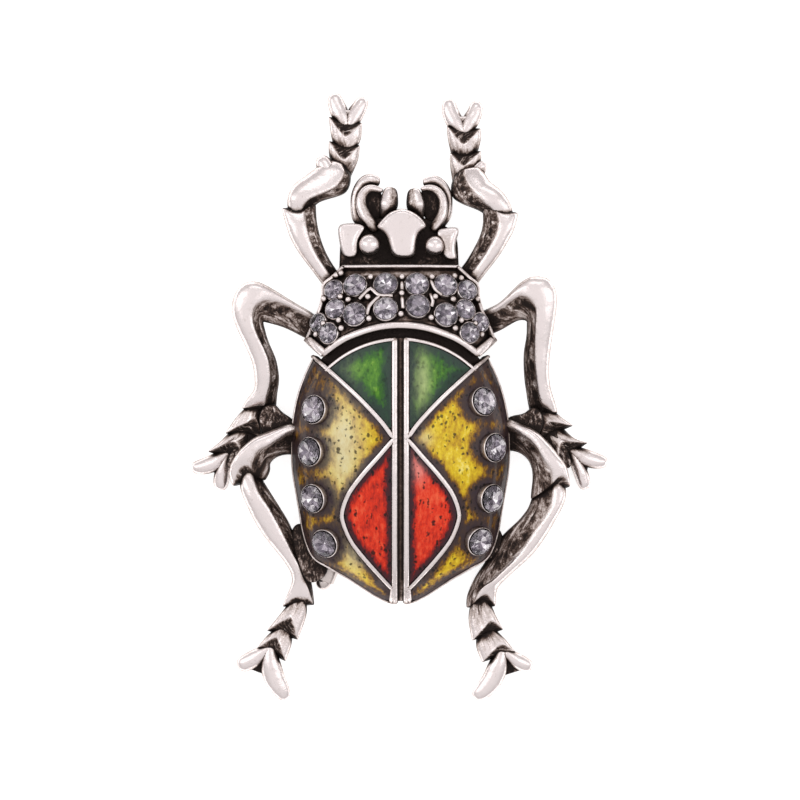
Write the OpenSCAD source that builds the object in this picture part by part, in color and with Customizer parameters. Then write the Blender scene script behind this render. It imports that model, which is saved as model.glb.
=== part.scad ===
// Beetle brooch lying on its six feet, in millimetres.
// +Y points to the head, +Z is up, and the origin is under the middle of the brooch on the
// surface that it lies on. One cast metal body carries six enamel fills, eight round stones in
// collets, the paved shield behind the head and one wire pin on its hollow back.

/* [Body] */
// Height of the flat back rim above the surface that the feet stand on
back_z = 2.6; // [2.3:0.1:3]
// Height of the upright edge round the body, above the back rim
edge_h = 0.6; // [0.4:0.1:1]
// Thickness of the cast walls over the hollow back
wall = 1.6; // [1.3:0.1:1.8]
// Radius of the arc along the front border of the wing cases
wing_front_r = 10.9; // [10.7:0.1:11]
// Radius of the arc along the rear edge of the shield
shield_rear_r = 11.8; // [11.6:0.1:12]
// Width of the cast rib under the shield that the pin is fixed to
rib_w = 3; // [2.6:0.1:3.4]

/* [Enamel cells] */
// Depth of the enamel cells below the metal ridges
cell_depth = 0.48; // [0.3:0.02:0.6]
// Width of the metal ridges between the cells
ridge_w = 0.5; // [0.4:0.05:0.6]
// Width of the metal rim outside the yellow cells
rim_w = 0.3; // [0.25:0.05:0.4]
// Distance from the seam to the inner edge of the cells
cell_x = 0.92; // [0.8:0.02:1]
// Width of the groove between the two wing cases
seam_w = 0.6; // [0.4:0.1:0.8]
// Width of the metal strip in front of the green cells
front_strip = 0.4; // [0.35:0.05:0.5]
// How far the enamel lies below the ridges
enamel_drop = 0.06; // [0.04:0.02:0.1]

/* [Stones] */
// Diameter of the round stones in the collets
stone_d = 2.36; // [2:0.02:2.4]
// Wall of each collet round its stone
collet_wall = 0.26; // [0.2:0.02:0.3]
// Height of the collet rims above the enamel
collet_h = 0.6; // [0.4:0.05:0.8]
// Depth of the collets' foot below the surface of the wing cases
collet_foot = 0.9; // [0.8:0.05:1]
// Depth of the collets' bore below the surface of the wing cases
bore_depth = 0.45; // [0.42:0.01:0.5]
// Width of the shield's side and front rim
shield_rim = 0.35; // [0.3:0.05:0.4]
// Width of the shield's broad rear rim
shield_rear_rim = 0.7; // [0.6:0.05:0.8]

/* [Pin] */
// Diameter of the pin wire
wire_d = 0.9; // [0.8:0.05:1]
// Height of the wire's axis above the surface
wire_z = 1.55; // [1.5:0.05:1.65]
// Length of the wire's tapered point
point_len = 1.2; // [1:0.1:1.4]
// Radius of the catch
catch_r = 1.05; // [1:0.05:1.15]

/* [Fit] */
// Gap between the metal and each piece set in it
gap = 0.03; // [0.02:0.01:0.05]

/* [Hidden] */

silver = "#cfc8c6";
edge_z = back_z + edge_h;
sky = 12;
cell_lift = 0.3;
ring_sides = 18;
neck_sink = 1.5;

// Wing cases, from the shield to the tail: y, half width, height of the crown above the edge
wing_rows = [
    [6.6, 8.9, 5.7], [4.5, 9.2, 6.0], [2.5, 9.9, 6.25], [0.5, 10.6, 6.45], [-2, 11.1, 6.6],
    [-4.6, 11.25, 6.6], [-7.2, 11.15, 6.45], [-9.1, 10.85, 6.2], [-11.4, 10.5, 5.85],
    [-13.2, 10.25, 5.5], [-14.9, 9.8, 5.0], [-16.3, 9.25, 4.5], [-17.2, 8.4, 4.1],
    [-18.2, 6.6, 3.5], [-19.3, 4.6, 2.7], [-20.3, 2.9, 1.95], [-21.3, 0.8, 1.1]
];

// Outline of one wing case, down the outer side: x, y
wing_side = [
    [8.85, 4.2], [9.8, 2.3], [10.55, 0.2], [11.05, -2.3], [11.2, -4.9], [11.1, -7.5],
    [10.8, -9.4], [10.4, -11.7], [10.1, -13.5], [9.6, -15.2], [8.75, -16.8], [7.4, -17.55],
    [5.2, -18.65], [2.9, -20.15], [1.2, -21.0], [0, -21.1]
];

// Shield behind the head, from its rear edge to its front: y, half width, crown above the edge
shield_rows = [
    [3.3, 10.4, 6.2], [4.8, 10.4, 6.3], [6.3, 10.3, 6.4], [8.1, 10.0, 6.1], [9.7, 9.6, 5.5],
    [11.2, 9.2, 4.8], [12.5, 8.9, 4.1], [13.6, 8.7, 3.4]
];

// Outline of one half of the shield, up the outer side: x, y
shield_side = [
    [9.7, 5.85], [9.1, 7.4], [8.5, 8.6], [8.1, 10.0], [8.0, 11.35], [5.95, 13.3],
    [0, 13.4]
];

// Centre of the arcs between the shield and the wing cases
arc_y = -4.86;

// Corners of the neck's floor on one side: x, y
neck_corners = [[7.4, 2.7], [8.4, 3.8], [7.8, 8]];

// Ridge between the green and the yellow cell, from the shoulder to the seam: x, y
shoulder_ridge = [
    [10, 5.2], [8.9, 4.1], [7.3, 2.75], [4.3, 0], [2.1, -2.3], [0.95, -3.8], [0, -4.7]
];

// Ridge between the red and the yellow cell, from the seam to the tail: x, y
tail_ridge = [
    [0, -3.7], [1, -4.6], [2.3, -6.1], [3.8, -7.8], [5.2, -9.7], [5.9, -11.6], [5.75, -12.9],
    [5.0, -14.6], [3.7, -16.3], [2.3, -17.9], [1.15, -19.3], [0, -20.2]
];

// Feet of the collets on the wing cases, from the shoulder to the tail: x, y
left_collets = [[-8.55, -1.3], [-8.95, -5.5], [-8.65, -10.2], [-7.5, -14.7]];
right_collets = [[8.2, -0.5], [9.3, -5.1], [9.0, -10.2], [7.85, -14.5]];

// Legs from the body to the end of the shin: x, y, height, half width, half depth
front_left_leg = [
    [-7.2, 12.0, 4.0, 1.0, 1.1], [-8.7, 14.2, 4.4, 1.2, 1.1], [-9.8, 16.1, 4.6, 1.35, 1.1],
    [-10.45, 18.4, 4.4, 1.55, 1.1], [-10.0, 19.7, 4.0, 1.25, 1.0], [-8.9, 21.0, 3.4, 1.55, 1.1],
    [-7.6, 22.0, 2.7, 1.7, 1.1], [-6.3, 22.9, 2.1, 1.4, 1.0], [-5.8, 23.6, 1.8, 1.1, 0.9]
];
front_right_leg = [
    [6.8, 11.8, 4.0, 1.0, 1.1], [8.4, 14.2, 4.4, 1.2, 1.1], [9.5, 16.0, 4.6, 1.3, 1.1],
    [10.3, 18.0, 4.4, 1.6, 1.1], [9.8, 19.5, 4.0, 1.35, 1.0], [8.5, 20.6, 3.4, 1.7, 1.1],
    [7.3, 21.6, 2.7, 1.85, 1.1], [6.6, 22.5, 2.1, 1.45, 1.0], [6.5, 23.2, 1.8, 1.15, 0.9]
];
mid_left_leg = [
    [-9.0, 7.0, 4.0, 1.3, 1.1], [-11.2, 8.3, 4.4, 1.3, 1.1], [-13.1, 9.25, 4.8, 1.5, 1.1],
    [-15.1, 9.8, 5.0, 2.0, 1.1], [-15.25, 7.3, 4.8, 1.45, 1.1], [-14.5, 5.3, 4.5, 1.3, 1.1],
    [-13.8, 3.2, 4.1, 1.2, 1.1], [-13.5, 1.5, 3.7, 1.2, 1.05], [-13.8, 0.2, 3.3, 1.35, 1.0],
    [-14.3, -0.9, 2.8, 1.5, 1.0]
];
mid_right_leg = [
    [8.6, 7.4, 4.0, 1.3, 1.1], [10.4, 8.4, 4.4, 1.3, 1.1], [12.1, 9.5, 4.8, 1.5, 1.1],
    [14.0, 10.5, 5.0, 1.95, 1.1], [14.2, 7.8, 4.8, 1.45, 1.1], [13.9, 5.3, 4.5, 1.35, 1.1],
    [13.8, 2.8, 4.1, 1.3, 1.1], [13.9, 0.9, 3.7, 1.25, 1.05], [14.2, -0.3, 3.3, 1.35, 1.0],
    [14.8, -1.2, 2.8, 1.5, 1.0]
];
hind_left_leg = [
    [-10.6, -4.4, 3.8, 1.3, 1.1], [-12.7, -4.7, 4.3, 1.5, 1.1], [-14.6, -5.6, 4.6, 1.5, 1.1],
    [-15.4, -7.2, 4.6, 1.85, 1.1], [-15.2, -8.9, 4.4, 1.4, 1.1], [-14.2, -10.8, 4.1, 1.3, 1.1],
    [-13.0, -13.0, 3.7, 1.3, 1.1], [-11.7, -15.0, 3.3, 1.3, 1.1], [-10.4, -17.2, 2.9, 1.1, 1.0],
    [-10.0, -18.8, 2.6, 0.95, 0.9], [-10.4, -20.4, 2.2, 1.1, 0.9]
];
hind_right_leg = [
    [11.2, -4.2, 3.8, 1.35, 1.1], [13.1, -4.9, 4.3, 1.5, 1.1], [14.6, -6.4, 4.6, 1.6, 1.1],
    [15.3, -8.3, 4.6, 1.8, 1.1], [14.9, -10.4, 4.3, 1.6, 1.1], [14.0, -12.3, 4.0, 1.4, 1.1],
    [12.1, -14.6, 3.6, 1.4, 1.1], [10.4, -16.7, 3.1, 1.35, 1.1], [8.8, -18.4, 2.7, 1.2, 1.0],
    [8.2, -20.0, 2.4, 1.2, 0.9]
];

// Toes, one row for each forked joint:
// root x, y, height, then left tip x, y, right tip x, y, height and radius of the tips
front_left_toes = [
    [-5.6, 23.3, 1.6, -7.1, 25.3, -4.3, 25.0, 1.5, 0.5],
    [-5.6, 24.6, 1.3, -7.0, 28.0, -4.15, 27.5, 1.3, 0.5]
];
front_right_toes = [
    [6.45, 22.9, 1.6, 5.0, 24.6, 8.1, 24.4, 1.5, 0.5],
    [6.35, 24.2, 1.3, 4.75, 27.2, 8.05, 27.0, 1.3, 0.5]
];
mid_left_toes = [
    [-13.9, -0.7, 2.6, -15.8, -0.9, -13.2, -1.9, 2.7, 0.5],
    [-14.1, -1.5, 2.2, -17.3, -3.2, -14.3, -3.6, 2.1, 0.5],
    [-15.3, -2.8, 1.7, -18.9, -5.2, -16.3, -5.4, 1.4, 0.5]
];
mid_right_toes = [
    [14.5, -0.9, 2.6, 13.6, -2.0, 15.6, -1.5, 2.7, 0.5],
    [14.7, -1.5, 2.2, 14.8, -3.6, 16.9, -3.15, 2.1, 0.5],
    [15.8, -2.7, 1.7, 16.4, -5.4, 18.5, -4.8, 1.4, 0.5]
];
hind_left_toes = [
    [-10.2, -19.4, 2.2, -11.7, -21.0, -9.3, -20.9, 2.0, 0.45],
    [-10.5, -20.9, 1.8, -13.2, -23.5, -10.3, -24.1, 1.6, 0.5],
    [-11.5, -23.1, 1.4, -14.3, -25.5, -11.8, -26.6, 1.2, 0.5]
];
hind_right_toes = [
    [8.1, -19.4, 2.2, 7.0, -21.0, 9.3, -21.1, 2.0, 0.45],
    [8.2, -20.9, 1.8, 7.6, -24.3, 10.1, -23.5, 1.6, 0.5],
    [8.8, -23.7, 1.4, 8.4, -26.5, 11.1, -25.5, 1.2, 0.5]
];

// Claws, two on each foot, from the last joint to the tip: x, y, height, radius.
// Their tips carry the flats that the brooch lies on.
claws = [
    [[-5.5, 26.5, 1.0, 0.8], [-6.65, 30.5, 0.58, 0.58]],
    [[-5.5, 26.5, 1.0, 0.8], [-3.8, 30.05, 0.58, 0.58]],
    [[6.35, 26.0, 1.0, 0.8], [4.7, 29.7, 0.58, 0.58]],
    [[6.35, 26.0, 1.0, 0.8], [7.7, 29.6, 0.58, 0.58]],
    [[-16.7, -4.4, 1.2, 0.8], [-17.7, -6.4, 0.95, 0.8], [-20.74, -7.3, 0.56, 0.56]],
    [[-17.7, -6.4, 0.95, 0.8], [-18.35, -8.95, 0.56, 0.56]],
    [[16.9, -4.4, 1.2, 0.8], [17.7, -6.3, 0.95, 0.8], [20.74, -6.6, 0.56, 0.56]],
    [[17.7, -6.3, 0.95, 0.8], [18.65, -8.95, 0.56, 0.56]],
    [[-13.3, -25.2, 1.1, 0.8], [-16.0, -27.4, 0.56, 0.56]],
    [[-13.3, -25.2, 1.1, 0.8], [-13.0, -27.9, 0.95, 0.9], [-11.8, -30.0, 0.56, 0.56]],
    [[10.2, -25.7, 1.1, 0.8], [12.8, -27.8, 0.56, 0.56]],
    [[10.2, -25.7, 1.1, 0.8], [9.6, -28.3, 0.95, 0.9], [8.0, -30.5, 0.56, 0.56]]
];

// Spur on the front left shin, from its root to its tip: x, y, height, radius
spur = [[-7.7, 22.4, 2.3, 0.6], [-7.95, 24.0, 1.9, 0.3]];

// Webs that tie the legs to the body at the back: four corners x, y, then height of the top
webs = [
    [[-11.6, -14.8], [-9.9, -18.0], [-9.0, -13.0], [-8.0, -16.4], 3.9],
    [[10.9, -14.6], [9.0, -17.0], [9.6, -12.6], [8.0, -16.0], 3.9],
    [[-13.6, -1.3], [-13.2, -3.6], [-10.6, -2.6], [-10.6, -4.6], 3.4],
    [[14.2, -1.4], [13.6, -3.6], [10.6, -1.8], [10.8, -4.4], 3.4]
];

// Jaws, two nested hooks on each side: x, y, height, radius
left_jaw_outer = [
    [-2.7, 17.6, 3.8, 0.6], [-4.1, 18.7, 3.7, 0.55], [-4.7, 20.0, 3.5, 0.55],
    [-4.3, 21.3, 3.3, 0.5], [-3.4, 22.1, 3.2, 0.5], [-2.5, 22.1, 3.1, 0.45]
];
left_jaw_inner = [
    [-2.5, 17.9, 4.4, 0.5], [-3.5, 18.9, 4.4, 0.45], [-3.9, 20.0, 4.3, 0.4],
    [-3.6, 20.8, 4.1, 0.35], [-2.7, 21.1, 4.0, 0.32], [-1.9, 21.0, 3.9, 0.3]
];
right_jaw_outer = [
    [3.3, 17.2, 3.8, 0.6], [4.2, 18.2, 3.7, 0.55], [4.7, 19.5, 3.5, 0.55],
    [4.6, 20.7, 3.3, 0.5], [3.9, 21.5, 3.2, 0.5], [2.9, 21.8, 3.1, 0.45]
];
right_jaw_inner = [
    [3.1, 17.5, 4.4, 0.5], [3.9, 18.3, 4.4, 0.45], [4.2, 19.5, 4.3, 0.4],
    [4.0, 20.6, 4.1, 0.35], [3.1, 21.1, 4.0, 0.32], [2.3, 21.1, 3.9, 0.3]
];

// Lip plate on top of the head: x, y
lip = [
    [0.1, 19.0], [-0.9, 18.8], [-1.7, 18.1], [-2.5, 17.4], [-1.4, 16.5], [-1.1, 15.4],
    [-0.8, 14.0], [1.6, 14.0], [1.6, 15.6], [1.7, 17.0], [2.9, 17.4], [2.0, 18.1], [1.1, 18.8]
];

// Low base plate of the head: x, y
head_base = [
    [-5.9, 12.6], [5.8, 12.6], [5.7, 17.2], [3.4, 17.6], [1.6, 18.7], [-1.4, 18.7],
    [-3.3, 17.6], [-5.8, 17.4]
];
head_base_h = 1.6;

// Centres of the two eyes: x, y, height
eyes = [[-3.2, 15.5, 5.5], [3.5, 15.45, 5.5]];
eye_r = 1.0;

// Feelers between the jaws, from root to tip: x, y, height, radius
feelers = [
    [[-1.6, 18.6, 3.9, 0.65], [-1.1, 20.9, 3.8, 0.55]],
    [[1.9, 18.6, 3.9, 0.65], [1.5, 20.9, 3.8, 0.55]]
];

// Middle of the floor inside each pair of jaws: x, y, height
jaw_floors = [[-3.0, 19.4, 3.3], [3.3, 19.4, 3.3]];

// Cheek on the right of the head, its mirror image being on the left: x, y, height of its top
cheek = [
    [6.2, 17.2, 5.3], [5.9, 17.55, 5.4], [4.0, 17.55, 5.9], [3.5, 17.1, 6.0],
    [4.2, 15.8, 6.1], [4.4, 14.1, 6.1], [5.8, 14.0, 5.6]
];

// Both ends of the pin
hinge = [3.0, 6.9];
pin_point = [-7.7, -18.5];

stone_r = stone_d / 2;
collet_r = stone_r + gap + collet_wall;
pin_run = pin_point - hinge;
pin_angle = atan2(pin_run[1], pin_run[0]);
pin_length = norm(pin_run);

function half_width(rows, y) = lookup(y, [for (row = rows) [row[0], row[1]]]);
function crown(rows, y) = lookup(y, [for (row = rows) [row[0], row[2]]]);
function top_z(rows, x, y) =
    edge_z + crown(rows, y) * sqrt(max(0, 1 - pow(x / half_width(rows, y), 2)));

// Corners of one arch of a vault, from its left foot over the crown to its right foot
function arch(row, sink, floor_z) =
    let (w = max(0.3, row[1] - sink), h = max(0.3, row[2] - sink))
    concat(
        [[-w, row[0], floor_z]],
        [for (a = [180:-12:0]) [w * cos(a), row[0], edge_z + h * sin(a)]],
        [[w, row[0], floor_z]]
    );

// Points of an arc about the shield's arc centre, between two values of x
function front_arc(r, x0, x1, steps = 14) =
    [for (i = [0:steps]) let (x = x0 + (x1 - x0) * i / steps) [x, arc_y + sqrt(r * r - x * x)]];

// A vault that spans the rows with an elliptical arch in each, lowered by sink on all sides
module vault(rows, sink, floor_z) {
    for (i = [0:len(rows) - 2])
        wrap(concat(arch(rows[i], sink, floor_z), arch(rows[i + 1], sink, floor_z)));
}

// The smallest solid round a set of points
module wrap(points) {
    hull()
        polyhedron(points, [[for (i = [0:len(points) - 1]) i]]);
}

// Puts children that are drawn on the right on the given side of the brooch
module on_side(side) {
    mirror([side < 0 ? 1 : 0, 0, 0])
        children();
}

module wing_outline() {
    for (side = [-1, 1])
        on_side(side)
            polygon(concat(front_arc(wing_front_r, 0, 7.7), wing_side));
}

module shield_outline() {
    for (side = [-1, 1])
        on_side(side)
            polygon(concat(front_arc(shield_rear_r, 0, 7.75), shield_side));
}

// Ground in front of the shoulder ridge, and inside the tail ridge
module front_zone() {
    polygon(concat(shoulder_ridge, [[0, sky], [sky, sky]]));
}

module tail_zone() {
    polygon(tail_ridge);
}

module beside_seam() {
    translate([cell_x, -25])
        square([20, 40]);
}

module green_cell() {
    intersection() {
        translate([0, arc_y])
            circle(wing_front_r - front_strip, $fn = 96);
        offset(delta = -ridge_w / 2)
            front_zone();
        beside_seam();
    }
}

module yellow_cell() {
    difference() {
        intersection() {
            offset(delta = -rim_w)
                wing_outline();
            beside_seam();
        }
        offset(delta = ridge_w / 2)
            front_zone();
        offset(delta = ridge_w / 2)
            tail_zone();
    }
}

module red_cell() {
    intersection() {
        offset(delta = -ridge_w / 2)
            tail_zone();
        beside_seam();
    }
}

module shield_cell() {
    intersection() {
        offset(delta = -shield_rim)
            shield_outline();
        difference() {
            translate([-15, 0])
                square([30, 20]);
            translate([0, arc_y])
                circle(shield_rear_r + shield_rear_rim, $fn = 96);
        }
    }
}

// The space above a cell's floor, cut from the metal
module recess(rows) {
    difference() {
        translate([0, 0, edge_z + cell_lift - gap])
            linear_extrude(sky)
                children();
        vault(rows, cell_depth, 0);
    }
}

// A fill that lies in a cell, a gap away from its floor and walls
module fill(rows) {
    difference() {
        intersection() {
            vault(rows, enamel_drop, 0);
            translate([0, 0, edge_z + cell_lift])
                linear_extrude(sky)
                    offset(delta = -gap)
                        children();
        }
        vault(rows, cell_depth - gap, 0);
    }
}

// Puts its children on the wing cases, upright to the curve at one place
module on_wing(place) {
    step = 0.05;
    x = place[0];
    y = place[1];
    slope_x = (top_z(wing_rows, x + step, y) - top_z(wing_rows, x - step, y)) / (2 * step);
    slope_y = (top_z(wing_rows, x, y + step) - top_z(wing_rows, x, y - step)) / (2 * step);
    tilt = atan(norm([slope_x, slope_y]));
    translate([x, y, top_z(wing_rows, x, y)])
        rotate([0, tilt, atan2(-slope_y, -slope_x)])
            children();
}

module collet_post() {
    translate([0, 0, -collet_foot])
        cylinder(h = collet_foot + collet_h, r = collet_r, $fn = ring_sides);
}

module collet_bore() {
    translate([0, 0, -bore_depth])
        cylinder(h = 3, r = stone_r + gap, $fn = ring_sides);
}

module wing_case_metal() {
    intersection() {
        vault(wing_rows, 0, back_z);
        linear_extrude(sky)
            wing_outline();
    }
}

module shield_metal() {
    intersection() {
        vault(shield_rows, 0, back_z);
        linear_extrude(sky)
            shield_outline();
    }
}

// Fills the groove between the shield and the wing cases up to a low floor
module neck_metal() {
    intersection() {
        vault(shield_rows, neck_sink, back_z + 0.05);
        linear_extrude(sky)
            hull()
                for (side = [-1, 1], corner = neck_corners)
                    translate([side * corner[0], corner[1]])
                        circle(0.4, $fn = 12);
    }
}

// The hollow under the body, in front of and behind the rib
module back_hollow() {
    difference() {
        union() {
            intersection() {
                vault(wing_rows, wall, 0);
                linear_extrude(sky)
                    offset(delta = -wall)
                        wing_outline();
            }
            intersection() {
                vault(shield_rows, wall, 0);
                linear_extrude(sky)
                    offset(delta = -wall)
                        shield_outline();
            }
        }
        translate([-sky, hinge[1] - rib_w / 2, 0])
            cube([2 * sky, rib_w, sky]);
    }
}

// A low post with drafted sides, the cross-section of the legs and toes
module knob(x, y, z, half_w, half_h, sides = 8) {
    draft = 0.6;
    translate([x, y, z - half_h])
        cylinder(h = 2 * half_h, r1 = half_w, r2 = draft * half_w, $fn = sides);
}

module leg(rows) {
    for (i = [0:len(rows) - 2])
        hull()
            for (row = [rows[i], rows[i + 1]])
                knob(row[0], row[1], row[2], row[3], row[4]);
}

module toes(rows) {
    for (row = rows, tip = [3, 5])
        hull() {
            knob(row[0], row[1], row[2], 0.8, 0.6, 6);
            knob(row[tip], row[tip + 1], row[7], row[8], row[8], 6);
        }
}

module claw(rows) {
    for (i = [0:len(rows) - 2])
        hull()
            for (row = [rows[i], rows[i + 1]])
                knob(row[0], row[1], row[2], row[3], min(row[2], row[3]), 6);
}

module horn(rows) {
    for (i = [0:len(rows) - 2])
        hull()
            for (row = [rows[i], rows[i + 1]])
                translate([row[0], row[1], row[2]])
                    sphere(row[3], $fn = 6);
}

module web(row) {
    hull()
        for (i = [0:3])
            translate([row[i][0], row[i][1], back_z + 0.15])
                cylinder(h = row[4] - back_z, r = 0.4, $fn = 8);
}

module head_metal() {
    translate([0, 0, back_z + 0.1])
        linear_extrude(head_base_h)
            polygon(head_base);
    lip_metal();
    for (side = [-1, 1])
        on_side(side)
            cheek_metal();
    for (eye = eyes)
        knob(eye[0], eye[1], eye[2], eye_r, eye_r);
    horn(left_jaw_outer);
    horn(left_jaw_inner);
    horn(right_jaw_outer);
    horn(right_jaw_inner);
    for (place = jaw_floors)
        translate(place)
            scale([1.2, 1.9, 0.5])
                sphere(1, $fn = 10);
    for (feeler = feelers)
        hull()
            for (row = feeler)
                knob(row[0], row[1], row[2], row[3], row[3]);
}

// Lip plate, highest along its rear edge
module lip_metal() {
    hull() {
        translate([0, 0, 3.4])
            linear_extrude(2.2)
                polygon(lip);
        translate([0.4, 14.4, 6.2])
            cube([2, 0.6, 0.6], center = true);
    }
}

module cheek_metal() {
    floor_z = back_z + 0.3;
    hull()
        for (p = cheek)
            translate([p[0], p[1], floor_z])
                cylinder(h = p[2] - floor_z, r = 0.15, $fn = 8);
}

module casting() {
    color(silver)
        difference() {
            union() {
                difference() {
                    union() {
                        wing_case_metal();
                        shield_metal();
                        neck_metal();
                        all_legs();
                    }
                    all_cells();
                    seam_groove();
                }
                for (place = concat(left_collets, right_collets))
                    on_wing(place)
                        collet_post();
                head_metal();
                all_toes();
            }
            for (place = concat(left_collets, right_collets))
                on_wing(place)
                    collet_bore();
            back_hollow();
        }
}

module all_legs() {
    for (rows = [front_left_leg, front_right_leg, mid_left_leg, mid_right_leg,
                 hind_left_leg, hind_right_leg])
        leg(rows);
    for (row = webs)
        web(row);
}

module all_toes() {
    for (rows = [front_left_toes, front_right_toes, mid_left_toes, mid_right_toes,
                 hind_left_toes, hind_right_toes])
        toes(rows);
    for (rows = claws)
        claw(rows);
    claw(spur);
}

module all_cells() {
    for (side = [-1, 1])
        on_side(side)
            recess(wing_rows) {
                green_cell();
                yellow_cell();
                red_cell();
            }
    recess(shield_rows)
        shield_cell();
}

// The groove along the middle, between the two wing cases
module seam_groove() {
    difference() {
        translate([-seam_w / 2, -22, back_z + 1])
            cube([seam_w, 28.2, sky]);
        vault(wing_rows, 0.6, 0);
    }
}

module enamel_green(side) {
    color("#3f7d2c")
        on_side(side)
            fill(wing_rows)
                green_cell();
}

module enamel_yellow(side) {
    places = side < 0 ? left_collets : right_collets;
    color("#d8bd3a")
        difference() {
            on_side(side)
                fill(wing_rows)
                    yellow_cell();
            for (place = places)
                on_wing(place)
                    translate([0, 0, -1])
                        cylinder(h = 3, r = collet_r + gap, $fn = ring_sides);
        }
}

module enamel_red(side) {
    color("#e0432b")
        on_side(side)
            fill(wing_rows)
                red_cell();
}

// One plate that stands for the sixteen stones set close together in the shield
module pave() {
    color("#8f8a98")
        fill(shield_rows)
            shield_cell();
}

// A round stone with a flat table and a shallow pavilion, set in a collet
module stone(place) {
    color("#8d909f")
        on_wing(place)
            rotate_extrude($fn = 48)
                polygon([
                    [0, -0.4], [stone_r * 0.8, -0.35], [stone_r, 0.05], [stone_r, 0.15],
                    [stone_r * 0.62, 0.5], [0, 0.5]
                ]);
}

// Hinge block, wire and catch of the pin in one plain piece, along +X from the hinge
module brooch_pin() {
    color(silver)
        translate([hinge[0], hinge[1], 0])
            rotate([0, 0, pin_angle]) {
                hinge_block();
                translate([0, 0, wire_z])
                    rotate([0, 90, 0])
                        cylinder(h = pin_length - point_len, d = wire_d, $fn = 24);
                translate([pin_length - point_len, 0, wire_z])
                    rotate([0, 90, 0])
                        cylinder(h = point_len, d1 = wire_d, d2 = wire_d * 0.4, $fn = 24);
                catch_hook();
            }
}

// The block under the rib that holds the end of the wire, slotted in front for the wire's play
module hinge_block() {
    size = [2.4, 2.6];
    under_wire = 0.7;
    difference() {
        translate([-size[0] / 2, -size[1] / 2, wire_z - under_wire])
            cube([size[0], size[1], back_z - gap - wire_z + under_wire]);
        translate([0.7, -0.6, 0])
            cube([1.2, 1.2, back_z - 0.5]);
    }
}

// A hook closed on the wire, with its mouth on one side, hanging from the back rim
module catch_hook() {
    length = 2.1;
    spare = 0.1;
    start = pin_length - 1.9;
    hook_z = wire_z + 0.15;
    mouth_h = 0.5;
    difference() {
        translate([start, 0, hook_z])
            rotate([0, 90, 0])
                cylinder(h = length, r = catch_r, $fn = 32);
        translate([start - spare, wire_d / 4, hook_z - mouth_h / 2])
            cube([length + 2 * spare, 2, mouth_h]);
        translate([start - spare, -2, back_z - gap])
            cube([length + 2 * spare, 4, 1]);
    }
}

casting();
enamel_green(-1);  // enamel_green_left
enamel_green(1);  // enamel_green_right
enamel_yellow(-1);  // enamel_yellow_left
enamel_yellow(1);  // enamel_yellow_right
enamel_red(-1);  // enamel_red_left
enamel_red(1);  // enamel_red_right
pave();
stone(left_collets[0]);  // stone_left_1
stone(left_collets[1]);  // stone_left_2
stone(left_collets[2]);  // stone_left_3
stone(left_collets[3]);  // stone_left_4
stone(right_collets[0]);  // stone_right_1
stone(right_collets[1]);  // stone_right_2
stone(right_collets[2]);  // stone_right_3
stone(right_collets[3]);  // stone_right_4
brooch_pin();
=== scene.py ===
# %% [markdown]
# # A beetle brooch in antique silver, enamel and cut glass
# The brooch is a single casting that lies on its six feet. Its wing cases are divided by thin
# metal ridges into cells, and each cell is filled with glossy enamel. The shield behind the head is
# paved with stones, and eight more stones sit in collets along the sides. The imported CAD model
# gives the places and sizes; here every piece gets its true surface and finish.

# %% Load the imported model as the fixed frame
import math
import random

import bmesh
import bpy
from mathutils import Matrix, Vector
from mathutils.bvhtree import BVHTree
from mathutils.kdtree import KDTree
from mathutils.noise import random_unit_vector, seed_set


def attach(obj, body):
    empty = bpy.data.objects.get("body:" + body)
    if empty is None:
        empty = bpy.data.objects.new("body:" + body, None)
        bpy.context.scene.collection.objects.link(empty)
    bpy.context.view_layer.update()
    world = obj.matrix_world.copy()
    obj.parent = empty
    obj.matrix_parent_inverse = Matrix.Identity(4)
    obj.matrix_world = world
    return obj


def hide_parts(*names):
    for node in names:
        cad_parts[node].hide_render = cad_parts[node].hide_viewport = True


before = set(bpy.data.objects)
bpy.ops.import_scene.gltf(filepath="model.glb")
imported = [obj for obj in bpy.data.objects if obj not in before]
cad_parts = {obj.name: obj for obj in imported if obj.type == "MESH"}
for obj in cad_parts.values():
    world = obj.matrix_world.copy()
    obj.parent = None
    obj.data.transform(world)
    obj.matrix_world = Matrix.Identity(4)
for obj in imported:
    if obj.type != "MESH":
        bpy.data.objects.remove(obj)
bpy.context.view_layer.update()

# %% [markdown]
# ## The measures of the body
# All sizes below are millimetres, as in the construction, and turn into metres when a piece is
# finished. Two tables give the domes: how wide and how high each cross-section is. A cross-section
# is half an ellipse, so a place on the dome follows from its x and y alone.

# %% Tables of the two domes, and the main sizes
MM = 0.001
BACK_Z = 2.6  # height of the flat back rim
EDGE_Z = 3.2  # height where the domes begin
CELL_DEPTH = 0.48
ARC_Y = -4.86  # centre of the arcs between shield and wing cases

# y, half width, height of the crown above the edge
WING_ROWS = [
    (6.6, 8.9, 5.7), (4.5, 9.2, 6.0), (2.5, 9.9, 6.25), (0.5, 10.6, 6.45), (-2.0, 11.1, 6.6),
    (-4.6, 11.25, 6.6), (-7.2, 11.15, 6.45), (-9.1, 10.85, 6.2), (-11.4, 10.5, 5.85),
    (-13.2, 10.25, 5.5), (-14.9, 9.8, 5.0), (-16.3, 9.25, 4.5), (-17.2, 8.4, 4.1),
    (-18.2, 6.6, 3.5), (-19.3, 4.6, 2.7), (-20.3, 2.9, 1.95), (-21.3, 0.8, 1.1),
]
SHIELD_ROWS = [
    (3.3, 10.4, 6.2), (4.8, 10.4, 6.3), (6.3, 10.3, 6.4), (8.1, 10.0, 6.1), (9.7, 9.6, 5.5),
    (11.2, 9.2, 4.8), (12.5, 8.9, 4.1), (13.6, 8.7, 3.4),
]
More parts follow.
